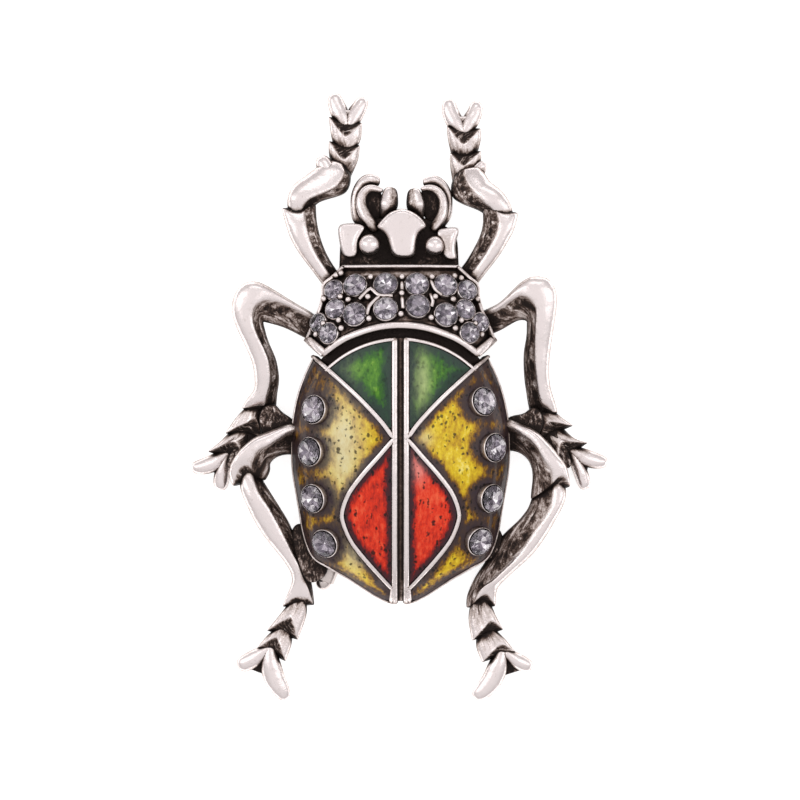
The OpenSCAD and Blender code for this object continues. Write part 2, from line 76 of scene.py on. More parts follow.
# y, half width of the outline
WING_EDGE = [
    (4.2, 8.85), (2.3, 9.8), (0.2, 10.55), (-2.3, 11.05), (-4.9, 11.2), (-7.5, 11.1),
    (-9.4, 10.8), (-11.7, 10.4), (-13.5, 10.1), (-15.2, 9.6), (-16.6, 8.85), (-17.55, 7.3),
    (-18.65, 5.3), (-20.05, 3.1), (-20.6, 2.15), (-20.92, 1.4), (-21.05, 0.9),
]
SHIELD_EDGE = [
    (5.85, 9.7), (7.4, 9.1), (8.6, 8.5), (10.0, 8.1), (11.35, 8.0), (13.4, 5.95),
]
SHOULDER_START = (7.7, 2.855)  # where the front arc of the wing cases turns into the shoulder
SHOULDER_CORNER = (8.85, 4.2)
SHIELD_SIDE = (9.7, 5.85)  # rear end of the shield's side
SHIELD_CORNER_X = 8.0  # where the rear arc of the shield meets the corner band
SHIELD_FRONT_Y = 13.4
WING_TAIL_Y = -21.05
WING_FRONT_R = 10.9
SHIELD_REAR_R = 11.8


def between(rows, key, column):
    """Value of one column at a key, on a smooth curve through the table's rows."""
    rows = sorted(rows)
    key = max(rows[0][0], min(rows[-1][0], key))
    i = max(0, min(len(rows) - 2, sum(row[0] <= key for row in rows) - 1))
    slopes = []
    for j in (i, i + 1):
        before, after = rows[max(0, j - 1)], rows[min(len(rows) - 1, j + 1)]
        slopes.append((after[column] - before[column]) / (after[0] - before[0]))
    low, high = rows[i], rows[i + 1]
    span = high[0] - low[0]
    t = (key - low[0]) / span
    return (
        (2 * t**3 - 3 * t**2 + 1) * low[column]
        + (t**3 - 2 * t**2 + t) * span * slopes[0]
        + (3 * t**2 - 2 * t**3) * high[column]
        + (t**3 - t**2) * span * slopes[1]
    )


def on_dome(rows, x, y, lift=0.0):
    """Place on a dome above x, y, moved by lift along the surface's normal, and the normal."""
    step = 0.1
    wide, crown = (between(rows, y, c) for c in (1, 2))
    wide_slope, crown_slope = (
        (between(rows, y + step, c) - between(rows, y - step, c)) / (2 * step) for c in (1, 2)
    )
    sine = max(-1.0, min(1.0, x / wide))
    cosine = math.sqrt(1 - sine * sine)
    across = Vector((wide * cosine, 0, -crown * sine))
    along = Vector((wide_slope * sine, 1, crown_slope * cosine))
    normal = across.cross(along).normalized()
    return Vector((wide * sine, y, EDGE_Z + crown * cosine)) + lift * normal, normal


print("crown of the wing cases:", round(on_dome(WING_ROWS, 0, -3)[0].z, 2), "mm")

# %% [markdown]
# ## Small helpers
# One function adds a shader node and fills its inputs, one turns a web colour into the linear
# light that shaders work in, and one finishes a mesh: it turns its faces outwards, marks its sharp
# edges, scales it to metres, gives it its finish and lets it ride on the body.

# %% Helpers for colours and nodes


def linear(code):
    """A web colour such as #c0c0c0 as the linear RGBA that shaders use."""
    parts = [int(code[i : i + 2], 16) / 255 for i in (1, 3, 5)]
    return [c / 12.92 if c < 0.04045 else ((c + 0.055) / 1.055) ** 2.4 for c in parts] + [1.0]


def add_node(tree, kind, inputs=None, **settings):
    """Adds a node with its settings, and fills inputs with values or links.

    A link is given as a socket, or as a node, which stands for its first output."""
    made = tree.nodes.new(kind)
    for name, value in settings.items():
        setattr(made, name, value)
    for key, value in (inputs or {}).items():
        if isinstance(value, bpy.types.Node):
            value = value.outputs[0]
        if isinstance(value, bpy.types.NodeSocket):
            tree.links.new(value, made.inputs[key])
        else:
            made.inputs[key].default_value = value
    return made


def new_material(name):
    """A new material and its empty node tree."""
    material = bpy.data.materials.new(name)
    material.use_nodes = True
    material.node_tree.nodes.clear()
    return material, material.node_tree


def fill_ramp(ramp, stops):
    """Sets a colour ramp's stops from pairs of place and web colour."""
    elements = ramp.color_ramp.elements
    while len(elements) < len(stops):
        elements.new(0.5)
    for element, (place, code) in zip(elements, stops):
        element.position = place
        element.color = linear(code)


def add_surface(tree, inputs):
    """The shader of a material with its inputs, and the output node."""
    shader = add_node(tree, "ShaderNodeBsdfPrincipled", inputs)
    add_node(tree, "ShaderNodeOutputMaterial", {"Surface": shader})


def place_in_mm(tree):
    """Places on the object in millimetres, so that a scale of 2 means 2 to the millimetre."""
    place = add_node(tree, "ShaderNodeTexCoord").outputs["Object"]
    return add_node(tree, "ShaderNodeVectorMath", {0: place, "Scale": 1 / MM}, operation="SCALE")


print("mid grey in linear light:", round(linear("#808080")[0], 3))

# %% Helpers for meshes


def verts_of(geom):
    return [g for g in geom if isinstance(g, bmesh.types.BMVert)]


def bake_modifiers(piece):
    """Replaces a piece's mesh by what its modifiers make of it."""
    graph = bpy.context.evaluated_depsgraph_get()
    made = bpy.data.meshes.new_from_object(piece.evaluated_get(graph))
    made.name = piece.name
    piece.modifiers.clear()
    piece.data = made


def finish_piece(name, bm, materials, replaces, sharp=40, levels=0):
    """Turns a bmesh in millimetres into a finished piece in metres that rides on the body.

    Edges sharper than the angle in degrees stay crisp. levels counts the rounds of subdivision."""
    bmesh.ops.recalc_face_normals(bm, faces=bm.faces)
    # on a thin bent tile the operator can take the inside for the outside
    if bm.calc_volume(signed=True) < 0:
        bmesh.ops.reverse_faces(bm, faces=bm.faces)
    for face in bm.faces:
        face.smooth = True
    for edge in bm.edges:
        edge.smooth = not edge.is_manifold or edge.calc_face_angle() < math.radians(sharp)
    bmesh.ops.scale(bm, vec=(MM, MM, MM), verts=bm.verts)
    mesh = bpy.data.meshes.new(name)
    bm.to_mesh(mesh)
    bm.free()
    for material in materials:
        mesh.materials.append(material)
    piece = bpy.data.objects.new(name, mesh)
    bpy.context.scene.collection.objects.link(piece)
    if levels:
        modifier = piece.modifiers.new("Smooth", "SUBSURF")
        modifier.levels = levels
        modifier.render_levels = levels
        bake_modifiers(piece)
    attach(piece, "root")
    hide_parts(*replaces)
    print(name, len(piece.data.polygons), "faces")


def mark_layers(bm):
    """The layers that the silver reads: how rough, how far along, and how far across."""
    return [
        bm.verts.layers.float.get(key) or bm.verts.layers.float.new(key)
        for key in ("flank", "along", "across")
    ]


ROUND_STEP = 0.8  # mean distance in mm between two points round a tube, for the streaks


def loft(bm, rings, marks=None):
    """Joins rings of points into a closed tube by extruding the first ring from place to place.

    marks holds the roughness of each ring's points, kept in the flank layer. Two more layers
    hold how far along and how far round the tube each point lies, for streaks."""
    flank, along, across = mark_layers(bm)
    ring = bmesh.ops.create_circle(bm, segments=len(rings[0]), radius=1, cap_ends=True)["verts"]
    run = 0.0
    for k, points in enumerate(rings):
        run += (points[0] - rings[max(0, k - 1)][0]).length
        if k:
            edges = {e for v in ring for e in v.link_edges if e.other_vert(v) in ring}
            geom = bmesh.ops.extrude_edge_only(bm, edges=list(edges))["geom"]
            fresh = set(verts_of(geom))
            ring = [
                next(e.other_vert(v) for e in v.link_edges if e.other_vert(v) in fresh)
                for v in ring
            ]
        for i, (v, point) in enumerate(zip(ring, points)):
            v.co = point
            v[flank] = marks[k][i] if marks else 0.0
            v[along] = run
            v[across] = ROUND_STEP * min(i, len(points) - i)
    edges = {e for v in ring for e in v.link_edges if e.other_vert(v) in ring}
    bmesh.ops.edgeloop_fill(bm, edges=list(edges))


def smooth_path(points, spacing=0.3):
    """Points at an even spacing on a smooth curve through the given ones."""
    path = [Vector(p) for p in points]
    ends = [2 * path[0] - path[1], *path, 2 * path[-1] - path[-2]]
    made = []
    for i in range(1, len(ends) - 2):
        a, b, c, d = ends[i - 1 : i + 3]
        steps = max(1, round((c - b).length / spacing))
        for k in range(steps):
            t = k / steps
            made.append(
                0.5 * (2 * b + (c - a) * t + (2 * a - 5 * b + 4 * c - d) * t**2
                       + (3 * b - a - 3 * c + d) * t**3)
            )
    return made + [path[-1]]


# %% [markdown]
# ## The outlines in plan
# Both domes are made from a flat grid that is bent twice: first in plan, so that its border
# becomes the outline, and then upwards onto the dome. Columns are spaced by equal angles round
# the arch, which keeps the faces even where the dome falls away steeply.

# %% Plan of the wing cases and of the shield


def arc_front(r, x):
    """y at an x of an arc round the common centre of shield and wing cases."""
    return ARC_Y + math.sqrt(max(0.0, r * r - x * x))


def wing_front(x):
    """Front border of the wing cases: an arc, and a short slope to the shoulder's corner."""
    x = abs(x)
    (start_x, start_y), (corner_x, corner_y) = SHOULDER_START, SHOULDER_CORNER
    if x < start_x:
        return arc_front(WING_FRONT_R, x)
    return start_y + (x - start_x) * (corner_y - start_y) / (corner_x - start_x)


def wing_plan(s, t, inset=0.0):
    """Place in plan for s across, -1 to 1, and t from the tail, 0, to the front, 1."""
    x = SHOULDER_CORNER[0] * s
    # the front's y depends on x, and x on y, so a few rounds settle both
    for _ in range(12):
        x = s * between(WING_EDGE, wing_front(x), 1)
    front = wing_front(x) - inset
    rear = WING_TAIL_Y + inset
    y = rear + t * (front - rear)
    return s * max(0.1, between(WING_EDGE, y, 1) - inset), y


def shield_rear(x):
    """Rear border of the shield: an arc, and the corner bands outside it."""
    x = abs(x)
    side_x, side_y = SHIELD_SIDE
    if x < SHIELD_CORNER_X:
        return arc_front(SHIELD_REAR_R, x)
    start = arc_front(SHIELD_REAR_R, SHIELD_CORNER_X)
    return start + (x - SHIELD_CORNER_X) * (side_y - start) / (side_x - SHIELD_CORNER_X)


def shield_plan(s, t, inset=0.0, rear_inset=0.0):
    """Place in plan for s across, -1 to 1, and t from the rear, 0, to the front, 1."""
    rear = shield_rear(SHIELD_SIDE[0] * s) + rear_inset
    front = SHIELD_FRONT_Y - inset
    y = rear + t * (front - rear)
    return s * (between(SHIELD_EDGE, max(SHIELD_SIDE[1], y), 1) - inset), y


print("front of the shoulder at y", wing_front(SHOULDER_CORNER[0]), "mm")


# %% [markdown]
# ## Antique silver
# The casting is plated and then oxidised, and a polishing wheel takes the black layer off wherever
# it can reach. So the finish depends on the shape: open, high places shine, while grooves, flanks
# and corners stay dark. A measured attribute, `recess`, tells the material how enclosed each place
# is, and `flank` marks the rough sides that the wheel never touched.

# %% Finish of the antique silver


def make_silver():
    material, tree = new_material("antique_silver")
    in_mm = place_in_mm(tree)
    recess, flank, along, across = (
        add_node(tree, "ShaderNodeAttribute", attribute_name=key).outputs["Fac"]
        for key in ("recess", "flank", "along", "across")
    )

    # blotches of half a millimetre, where the black layer wore off unevenly
    blotch = add_node(tree, "ShaderNodeTexNoise", {"Vector": in_mm, "Scale": 1.6, "Detail": 5.0})
    # grain of a tenth of a millimetre, left by the sand of the mould
    grain = add_node(tree, "ShaderNodeTexNoise", {"Vector": in_mm, "Scale": 7.0, "Detail": 4.0})
    # streaks along the flanks, left by the file, and broken up by mottles of the black layer
    strokes = add_node(tree, "ShaderNodeCombineXYZ", {"X": across, "Y": along})
    strokes = add_node(
        tree, "ShaderNodeVectorMath", {0: strokes, 1: (2.2, 0.3, 1.0), 2: in_mm},
        operation="MULTIPLY_ADD",
    )
    streak = add_node(
        tree, "ShaderNodeTexNoise",
        {"Vector": strokes, "Scale": 1.0, "Detail": 6.0, "Roughness": 0.75},
    )

    # how much of the black layer is left: deep places, streaky flanks, and a little unevenness
    black = add_node(
        tree, "ShaderNodeMath", {0: streak, 1: 3.4, 2: -1.05}, operation="MULTIPLY_ADD"
    )
    black = add_node(tree, "ShaderNodeMath", {0: black, 1: flank}, operation="MULTIPLY")
    for share, part in ((1.25, recess), (0.3, blotch), (0.4, grain)):
        black = add_node(
            tree, "ShaderNodeMath", {0: part, 1: share, 2: black}, operation="MULTIPLY_ADD"
        )
    dark = add_node(
        tree, "ShaderNodeMapRange", {"Value": black, "From Min": 0.4, "From Max": 1.05}
    )

    # bare metal is pale and glossy; the layer over it runs from brown to black and is duller
    tone = add_node(tree, "ShaderNodeValToRGB", {"Fac": dark})
    fill_ramp(tone, [(0.0, "#f4ebea"), (0.1, "#e6dbd8"), (0.26, "#cabeb9"), (0.44, "#a09089"),
                     (0.66, "#5c4b43"), (1.0, "#251c19")])
    rough = add_node(tree, "ShaderNodeMapRange", {"Value": dark, "To Min": 0.24, "To Max": 0.5})
    metal = add_node(tree, "ShaderNodeMapRange", {"Value": dark, "To Min": 1.0, "To Max": 0.75})

    # polished places keep a soft waviness, flanks keep the bite of the file
    wave = add_node(tree, "ShaderNodeTexNoise", {"Vector": in_mm, "Scale": 0.9, "Detail": 2.0})
    soft = add_node(
        tree, "ShaderNodeBump", {"Height": wave, "Strength": 0.35, "Distance": 0.18 * MM}
    )
    bite = add_node(tree, "ShaderNodeMath", {0: flank, 1: 0.7, 2: 0.12}, operation="MULTIPLY_ADD")
    bump = add_node(
        tree, "ShaderNodeBump",
        {"Height": grain, "Strength": bite, "Distance": 0.12 * MM, "Normal": soft},
    )
    add_surface(
        tree, {"Base Color": tone, "Metallic": metal, "Roughness": rough, "Normal": bump}
    )
    return material


silver = make_silver()
print("finish:", silver.name)


def finish_silver(name, bm, node="casting", sharp=40, levels=0):
    """Finishes a piece of the metal, which stands for a part of a CAD node."""
    finish_piece(name, bm, [silver], [node], sharp, levels)


# %% [markdown]
# ## Enamel
# The fills are a clear coloured enamel over a stippled floor. It pools and darkens along the cell
# walls, and the stippling shows through as fine streaks and pits. The surface itself is smooth and
# glossy, so the colour sits under a clear coat. The attribute `border` holds the distance to the
# nearest wall in millimetres, and a second attribute holds painted highlights: pale patches that
# stand for reflections of the lights in the enamel.

# %% Finishes of the enamels


def make_enamel(name, stops, reach, highlight_tone, pits, streak=(1.7, 0.9, 1.7), dots=0.85, fine=2):
    """Enamel whose colour runs from the cell wall to the middle through the stops.

    It takes the highlight tone where a painted highlight lies, which stands for a reflection of the
    lights, and pits says how dark the pits are. With dots below 1 they are longer than wide, and
    fine says how many there are to the millimetre."""
    material, tree = new_material(name)
    in_mm = place_in_mm(tree)
    border, thin = (
        add_node(tree, "ShaderNodeAttribute", attribute_name=key).outputs["Fac"]
        for key in ("border", "thin")
    )

    # streaks of the stippled floor, about 0.4 by 0.8 mm
    stretched = add_node(tree, "ShaderNodeVectorMath", {0: in_mm, 1: streak}, operation="MULTIPLY")
    flow = add_node(
        tree, "ShaderNodeTexNoise",
        {"Vector": stretched, "Scale": 1.3, "Detail": 6.0, "Roughness": 0.65},
    )
    # slow changes of depth over several millimetres
    depth = add_node(tree, "ShaderNodeTexNoise", {"Vector": in_mm, "Scale": 0.25, "Detail": 2.0})
    # pits of up to a sixth of a millimetre, of different sizes; those of a stippled floor are
    # never quite round, so their pattern is pushed about
    uneven = add_node(tree, "ShaderNodeTexNoise", {"Vector": in_mm, "Scale": 3.5, "Detail": 0.0})
    dotted = add_node(
        tree, "ShaderNodeVectorMath", {0: in_mm, 1: (1.0, dots, 1.0)}, operation="MULTIPLY"
    )
    dotted = add_node(
        tree, "ShaderNodeVectorMath",
        {0: uneven.outputs["Color"], 1: (0.3, 0.3, 0.3), 2: dotted}, operation="MULTIPLY_ADD",
    )
    pit = add_node(tree, "ShaderNodeTexVoronoi", {"Vector": dotted, "Scale": fine})
    size = add_node(tree, "ShaderNodeSeparateColor", {"Color": pit.outputs["Color"]})
    inside = add_node(
        tree, "ShaderNodeMath", {0: size, 1: -0.44, 2: pit}, operation="MULTIPLY_ADD"
    )
    hole = add_node(
        tree, "ShaderNodeMapRange",
        {"Value": inside, "From Min": -0.12, "From Max": 0.06, "To Min": 1.0 - pits,
         "To Max": 1.0},
    )

    # the colour follows the distance from the wall, and streaks and depth move it up and down
    mixed = add_node(
        tree, "ShaderNodeMapRange", {"Value": border, "From Min": 0.0, "From Max": reach}
    )
    for share, part in ((1.5, flow), (0.9, depth)):
        mixed = add_node(
            tree, "ShaderNodeMath", {0: part, 1: share, 2: mixed}, operation="MULTIPLY_ADD"
        )
    level = add_node(
        tree, "ShaderNodeMapRange", {"Value": mixed, "From Min": 1.1, "From Max": 2.65}
    )
    tone = add_node(tree, "ShaderNodeValToRGB", {"Fac": level})
    fill_ramp(tone, stops)
    # painted highlight: away from the walls the colour is mixed towards a pale tone where a
    # reflection of the lights is painted in
    clear = add_node(tree, "ShaderNodeMath", {0: thin, 1: level}, operation="MULTIPLY")
    highlighted = add_node(
        tree, "ShaderNodeMix", {"Factor": clear, "A": tone, "B": linear(highlight_tone)}, data_type="RGBA"
    )
    shade = add_node(
        tree, "ShaderNodeVectorMath", {0: highlighted.outputs[2], "Scale": hole}, operation="SCALE"
    )
    bump = add_node(tree, "ShaderNodeBump", {"Height": flow, "Strength": 0.5, "Distance": 0.2 * MM})
    # the metal floor below gives the colour some sheen, and the coat is the polished surface
    add_surface(
        tree, {"Base Color": shade, "Metallic": 0.4, "Roughness": 0.4, "Specular IOR Level": 0.1,
               "Normal": bump, "Coat Weight": 0.45, "Coat Roughness": 0.03, "Coat IOR": 1.5},
    )
    return material


# each enamel's pale highlight colour is the tone of its painted reflections of the lights
green_enamel = make_enamel(
    "green_enamel",
    [(0.0, "#2c3a36"), (0.32, "#2c4636"), (0.6, "#3a7020"), (0.8, "#5c932a"), (1.0, "#a2c552")],
    reach=1.5, highlight_tone="#bcc98e", pits=0.35,
)
yellow_enamel = make_enamel(
    "yellow_enamel",
    [(0.0, "#3a2d33"), (0.3, "#46332c"), (0.43, "#7d5516"), (0.58, "#c49a18"), (0.78, "#e8ca24"),
     (1.0, "#fdf08c")],
    reach=1.05, highlight_tone="#e2d9ae", pits=0.8, fine=2.3,
)
red_enamel = make_enamel(
    "red_enamel",
    [(0.0, "#33202a"), (0.3, "#4c161c"), (0.45, "#a81c10"), (0.68, "#e83414"), (1.0, "#ff7048")],
    reach=0.85, highlight_tone="#f0b4ac", pits=0.9, streak=(2.4, 0.8, 2.4), dots=0.5, fine=2.3,
)
print("finishes:", [m.name for m in (green_enamel, yellow_enamel, red_enamel)])

# %% [markdown]
# ## Smoky glass over foil, and the steel of the pin
# The stones are pressed glass with a pointed back. The back is mirrored with foil, so light that
# enters the crown is thrown back out by the lower facets. That gives a cheap stone its sparkle.
# The foil reads the attribute `tone`, a painted reflection: each facet gets a random darker or
# lighter foil colour that stands for the part of the room it would mirror. The pin is plain drawn
# steel, bright and a little dull.

# %% Finishes of the stones and the pin


def make_plain(name, colour, inputs):
    material, tree = new_material(name)
    add_surface(tree, {"Base Color": linear(colour), **inputs})
    return material


def make_foil():
    """Mirror foil behind the stones, with a painted reflection: a darker or lighter tone for each
    facet.
    """
    material, tree = new_material("mirror_foil")
    tone = add_node(tree, "ShaderNodeAttribute", attribute_name="tone").outputs["Fac"]
    # painted reflection: the random tone of each facet picks a foil colour from dark grey to white
    ramp = add_node(tree, "ShaderNodeValToRGB", {"Fac": tone})
    fill_ramp(ramp, [(0.0, "#524c58"), (0.25, "#8f8993"), (0.6, "#cbc5cc"), (0.85, "#ffffff"),
                     (1.0, "#ffffff")])
    add_surface(tree, {"Base Color": ramp, "Metallic": 0.9, "Roughness": 0.1})
    return material


smoky_glass = make_plain(
    "smoky_glass", "#f2eef2", {"Roughness": 0.0, "IOR": 1.56, "Transmission Weight": 1.0}
)
foil = make_foil()
pin_steel = make_plain("pin_steel", "#d4cbc7", {"Roughness": 0.24, "Metallic": 1.0})
print("finishes:", [m.name for m in (smoky_glass, foil, pin_steel)])

# %% [markdown]
# ## The shell of the wing cases
# The real brooch is cast as a thin shell, hollow at the back, to save metal and weight. A flat grid
# is extruded once, which gives a closed box with a grid above and one below. The upper grid is
# bent onto the dome, the lower one becomes the smaller dome of the hollow, and two cuts round the
# sides of the box become the flat rim. The outside lies one cell depth below the dome's crown,
# because it is the floor of the enamel cells.

# %% Shells
WALL = 1.6  # thickness of the cast wall
RIM_INSET = 0.05  # how far the cell floor stays inside the outline


def shell(name, outer_plan, inner_plan, rows, columns, count):
    """A closed shell between an outer and an inner dome, open at the back, with a flat rim."""
    bm = bmesh.new()
    bmesh.ops.create_grid(bm, x_segments=columns, y_segments=count, size=1)
    raised = bmesh.ops.extrude_face_region(bm, geom=bm.faces[:], use_keep_orig=True)["geom"]
    bmesh.ops.translate(bm, verts=verts_of(raised), vec=(0, 0, 3))
    sides = [e for e in bm.edges if abs(e.verts[0].co.z - e.verts[1].co.z) > 1]
    bmesh.ops.subdivide_edges(bm, edges=sides, cuts=2)
    # floors 0 and 3 become the inner and the outer dome, 1 and 2 the two edges of the flat rim
    for vert in bm.verts:
        level = round(vert.co.z)
        plan, lift = (inner_plan, -WALL) if level < 2 else (outer_plan, -CELL_DEPTH)
        x, y = plan(math.sin(vert.co.x * math.pi / 2), (vert.co.y + 1) / 2)
        vert.co = on_dome(rows, x, y, lift)[0]
        if level in (1, 2):
            vert.co.z = BACK_Z
    finish_silver(name, bm)


shell(
    "wing_shell", lambda s, t: wing_plan(s, t, RIM_INSET), lambda s, t: wing_plan(s, t, WALL),
    WING_ROWS, 56, 64,
)
shell(
    "shield_shell", lambda s, t: shield_plan(s, t, RIM_INSET, RIM_INSET),
    lambda s, t: shield_plan(s, t, WALL, WALL + 0.2), SHIELD_ROWS, 44, 20,
)

# %% [markdown]
# ## The neck and the rib
# Between the shield and the wing cases lies a groove. Its low floor, the neck, ties both together,
# and it stays black, because no polishing wheel gets down there. Inside the hollow of the shield a
# straight rib runs across from wall to wall, and the block of the pin stands on it. Both are flat
# grids, extruded once, with the upper side bent to run just under the dome.

# %% Neck and rib
# half width, y of the rear side at an x, and depth from rear to front, of the neck and the rib
BARS = [(8.3, lambda x: arc_front(10.2, x), 2.4), (8.0, lambda x: 5.4, 3.0)]
BAR_SINK = 1.4  # below the dome


def make_bars():
    bm = bmesh.new()
    flank = bm.verts.layers.float.new("flank")
    for wide, rear, deep in BARS:
        made = bmesh.ops.create_grid(bm, x_segments=30, y_segments=8, size=1)["verts"]
        faces = list({face for vert in made for face in vert.link_faces})
        raised = bmesh.ops.extrude_face_region(bm, geom=faces, use_keep_orig=True)["geom"]
        top = verts_of(raised)
        for vert in made + top:
            x = wide * math.sin(vert.co.x * math.pi / 2)
            y = rear(x) + (vert.co.y + 1) / 2 * deep
            z = on_dome(SHIELD_ROWS, x, y, -BAR_SINK)[0].z if vert in top else BACK_Z + 0.04
            vert.co = (x, y, z)
            vert[flank] = 1.0
    finish_silver("neck_and_rib", bm)


make_bars()

# %% [markdown]
# ## The ridges between the cells
# Each ridge is a rounded strip that stands on the cell floor and follows the dome. It is drawn
# along a curve in plan, and its cross-section turns with the surface. The wheel reaches the ridges
# first, so they are the brightest lines on the brooch.

# %% A ridge along a path
# cross-section: across the ridge in widths, and above the dome in mm
RIDGE = [(-0.5, -0.55), (-0.5, -0.1), (-0.4, 0.0), (-0.16, 0.05), (0.16, 0.05), (0.4, 0.0),
         (0.5, -0.1), (0.5, -0.55)]


def ridge(bm, rows, path, width, lift=0.0):
    """A rounded strip along a path in plan that follows the dome."""
    points = smooth_path([(x, y, 0) for x, y in path])
    rings = []
    for i, point in enumerate(points):
        ahead = points[min(i + 1, len(points) - 1)] - points[max(i - 1, 0)]
        place, normal = on_dome(rows, point.x, point.y, lift)
        along = (ahead - normal * normal.dot(ahead)).normalized()
        side = along.cross(normal)
        rings.append([place + side * (u * width) + normal * h for u, h in RIDGE])
    loft(bm, rings)


def mirrored(path, side):
    return [(side * x, y) for x, y in path]


# %% Ridges of the wing cases
# x, y along each ridge of the right wing case
SHOULDER_RIDGE = [
    (9.0, 4.15), (8.5, 3.75), (7.3, 2.75), (4.3, 0.0), (2.1, -2.3), (0.95, -3.8), (0.5, -4.3),
]
TAIL_RIDGE = [
    (0.5, -4.15), (1.0, -4.6), (2.3, -6.1), (3.8, -7.8), (5.2, -9.7), (5.9, -11.6),
    (5.75, -12.9), (5.0, -14.6), (3.7, -16.3), (2.3, -17.9), (1.2, -19.1), (0.55, -19.7),
]
SEAM = [(0.6, y) for y in (5.9, 0, -7, -14, -20.95)]
TAIL_FORK = [(0.72, -19.3), (0.84, -20.2), (0.95, -20.9)]  # widens the seam's end into the rim
FRONT = [(x, arc_front(10.7, x)) for x in (0.5, 1.5, 3, 4.5, 6, 7.2, 7.6)]
SIDE = [(x - 0.14, y) for y, x in WING_EDGE[:10]] + [
    (8.7, -16.45), (7.2, -17.35), (5.22, -18.5), (3.05, -19.93), (2.1, -20.47), (1.3, -20.82),
    (0.5, -20.98),
]
RIDGE_W = 0.5
WIDTHS = [
    (SHOULDER_RIDGE, RIDGE_W), (TAIL_RIDGE, RIDGE_W), (SEAM, 0.6), (TAIL_FORK, 0.6), (FRONT, 0.4),
    (SIDE, 0.3),
]


def make_ridges():
    bm = bmesh.new()
    for side in (-1, 1):
        for path, width in WIDTHS:
            ridge(bm, WING_ROWS, mirrored(path, side), width)
    finish_silver("wing_ridges", bm)


make_ridges()

# %% [markdown]
# ## The enamel fills
# Each fill is a closed tile. A flat grid is extruded, and then bent into the outline of its cell
# and onto the dome. The top stays just below the ridges and sags a little towards the middle, as
# enamel does when it shrinks in the kiln. Beyond a line down the side of the wing cases the yellow
# lies thick and brown, and round each collet it is dark too.

# %% Outlines of the cells
GAP = 0.03  # between enamel and metal
CELL_X = 0.92  # where the cells begin beside the seam
FORK_Y = -4.2  # where the shoulder ridge and the tail ridge meet
# x, y of the stones in the collets, from the shoulder to the tail
LEFT_COLLETS = [(-8.55, -1.3), (-8.95, -5.5), (-8.65, -10.2), (-7.5, -14.7)]
RIGHT_COLLETS = [(8.2, -0.5), (9.3, -5.1), (9.0, -10.2), (7.85, -14.5)]
COLLET_R = 1.47


def beside(path, y, side):
    """x of the edge of a ridge at a y, on its outer or inner side."""
    rows = [(py, px) for px, py in path]
    slope = (between(rows, y + 0.1, 1) - between(rows, y - 0.1, 1)) / 0.2
    return between(rows, y, 1) + side * (RIDGE_W / 2 + GAP) * math.sqrt(1 + slope * slope)


def green_right(y):
    return max(beside(SHOULDER_RIDGE, y, -1), CELL_X)


def yellow_left(y):
    left = CELL_X + GAP
    if y > FORK_Y - 0.1:
        left = max(left, beside(SHOULDER_RIDGE, y, 1))
    if y < FORK_Y + 0.1:
        left = max(left, beside(TAIL_RIDGE, y, 1))
    return left


def yellow_right(y):
    return max(between(WING_EDGE, y, 1) - 0.2, yellow_left(y) + 0.02)


def red_right(y):
    return max(beside(TAIL_RIDGE, y, -1), CELL_X)


def cell_place(cell, s, t):
    """Place in plan of a point of a cell, across from 0 to 1 and along from 0 to 1."""
    left, right, rear, front = cell
    x = 3.0
    for _ in range(24):
        y = rear + t * (front(x) - rear)
        x = (x + left(y) + s * (right(y) - left(y))) / 2
    return x, y


# left x and right x at a y, y of the rear, and y of the front at an x
CELLS = {
    "green": (lambda y: CELL_X + GAP, green_right, -3.1, lambda x: arc_front(10.46, x)),
    "yellow": (yellow_left, yellow_right, -20.6, lambda x: 3.7),
    "red": (lambda y: CELL_X + GAP, red_right, -18.95, lambda x: -5.15),
}

# %% Enamel tiles
ENAMEL_DROP = 0.06  # of the fill's edge below the ridges
SAG = 0.07  # of its middle below its edge
BROWN_SHIFT = 0.52  # how much nearer to a wall the brown side seems, in mm
# fill, side, and x, y, half width, half height and strength of the painted highlights: pale patches
# that stand for reflections of the lights in the enamel
PAINTED_HIGHLIGHTS = [
    ("yellow", -1, 5.9, -4.8, 1.8, 4.8, 1.3), ("yellow", -1, 4.6, -16.0, 1.4, 1.8, 1.1),
    ("yellow", 1, 2.4, -4.2, 0.8, 0.9, 0.8), ("red", 1, 1.7, -7.0, 1.0, 1.5, 0.8),
    ("green", 1, 2.1, 1.6, 0.9, 3.2, 1.0), ("green", -1, 5.6, 3.0, 1.4, 2.4, 0.3),
]
# y, x of the line outside which the yellow turns brown
BROWN_LINE = [
    (3.7, 4.9), (0.5, 6.1), (-2.3, 6.8), (-4.0, 7.4), (-6.4, 7.9), (-8.8, 8.2), (-11.5, 7.7),
    (-13.0, 7.1), (-16.2, 6.5), (-18.0, 4.5), (-20.6, 2.0),
]


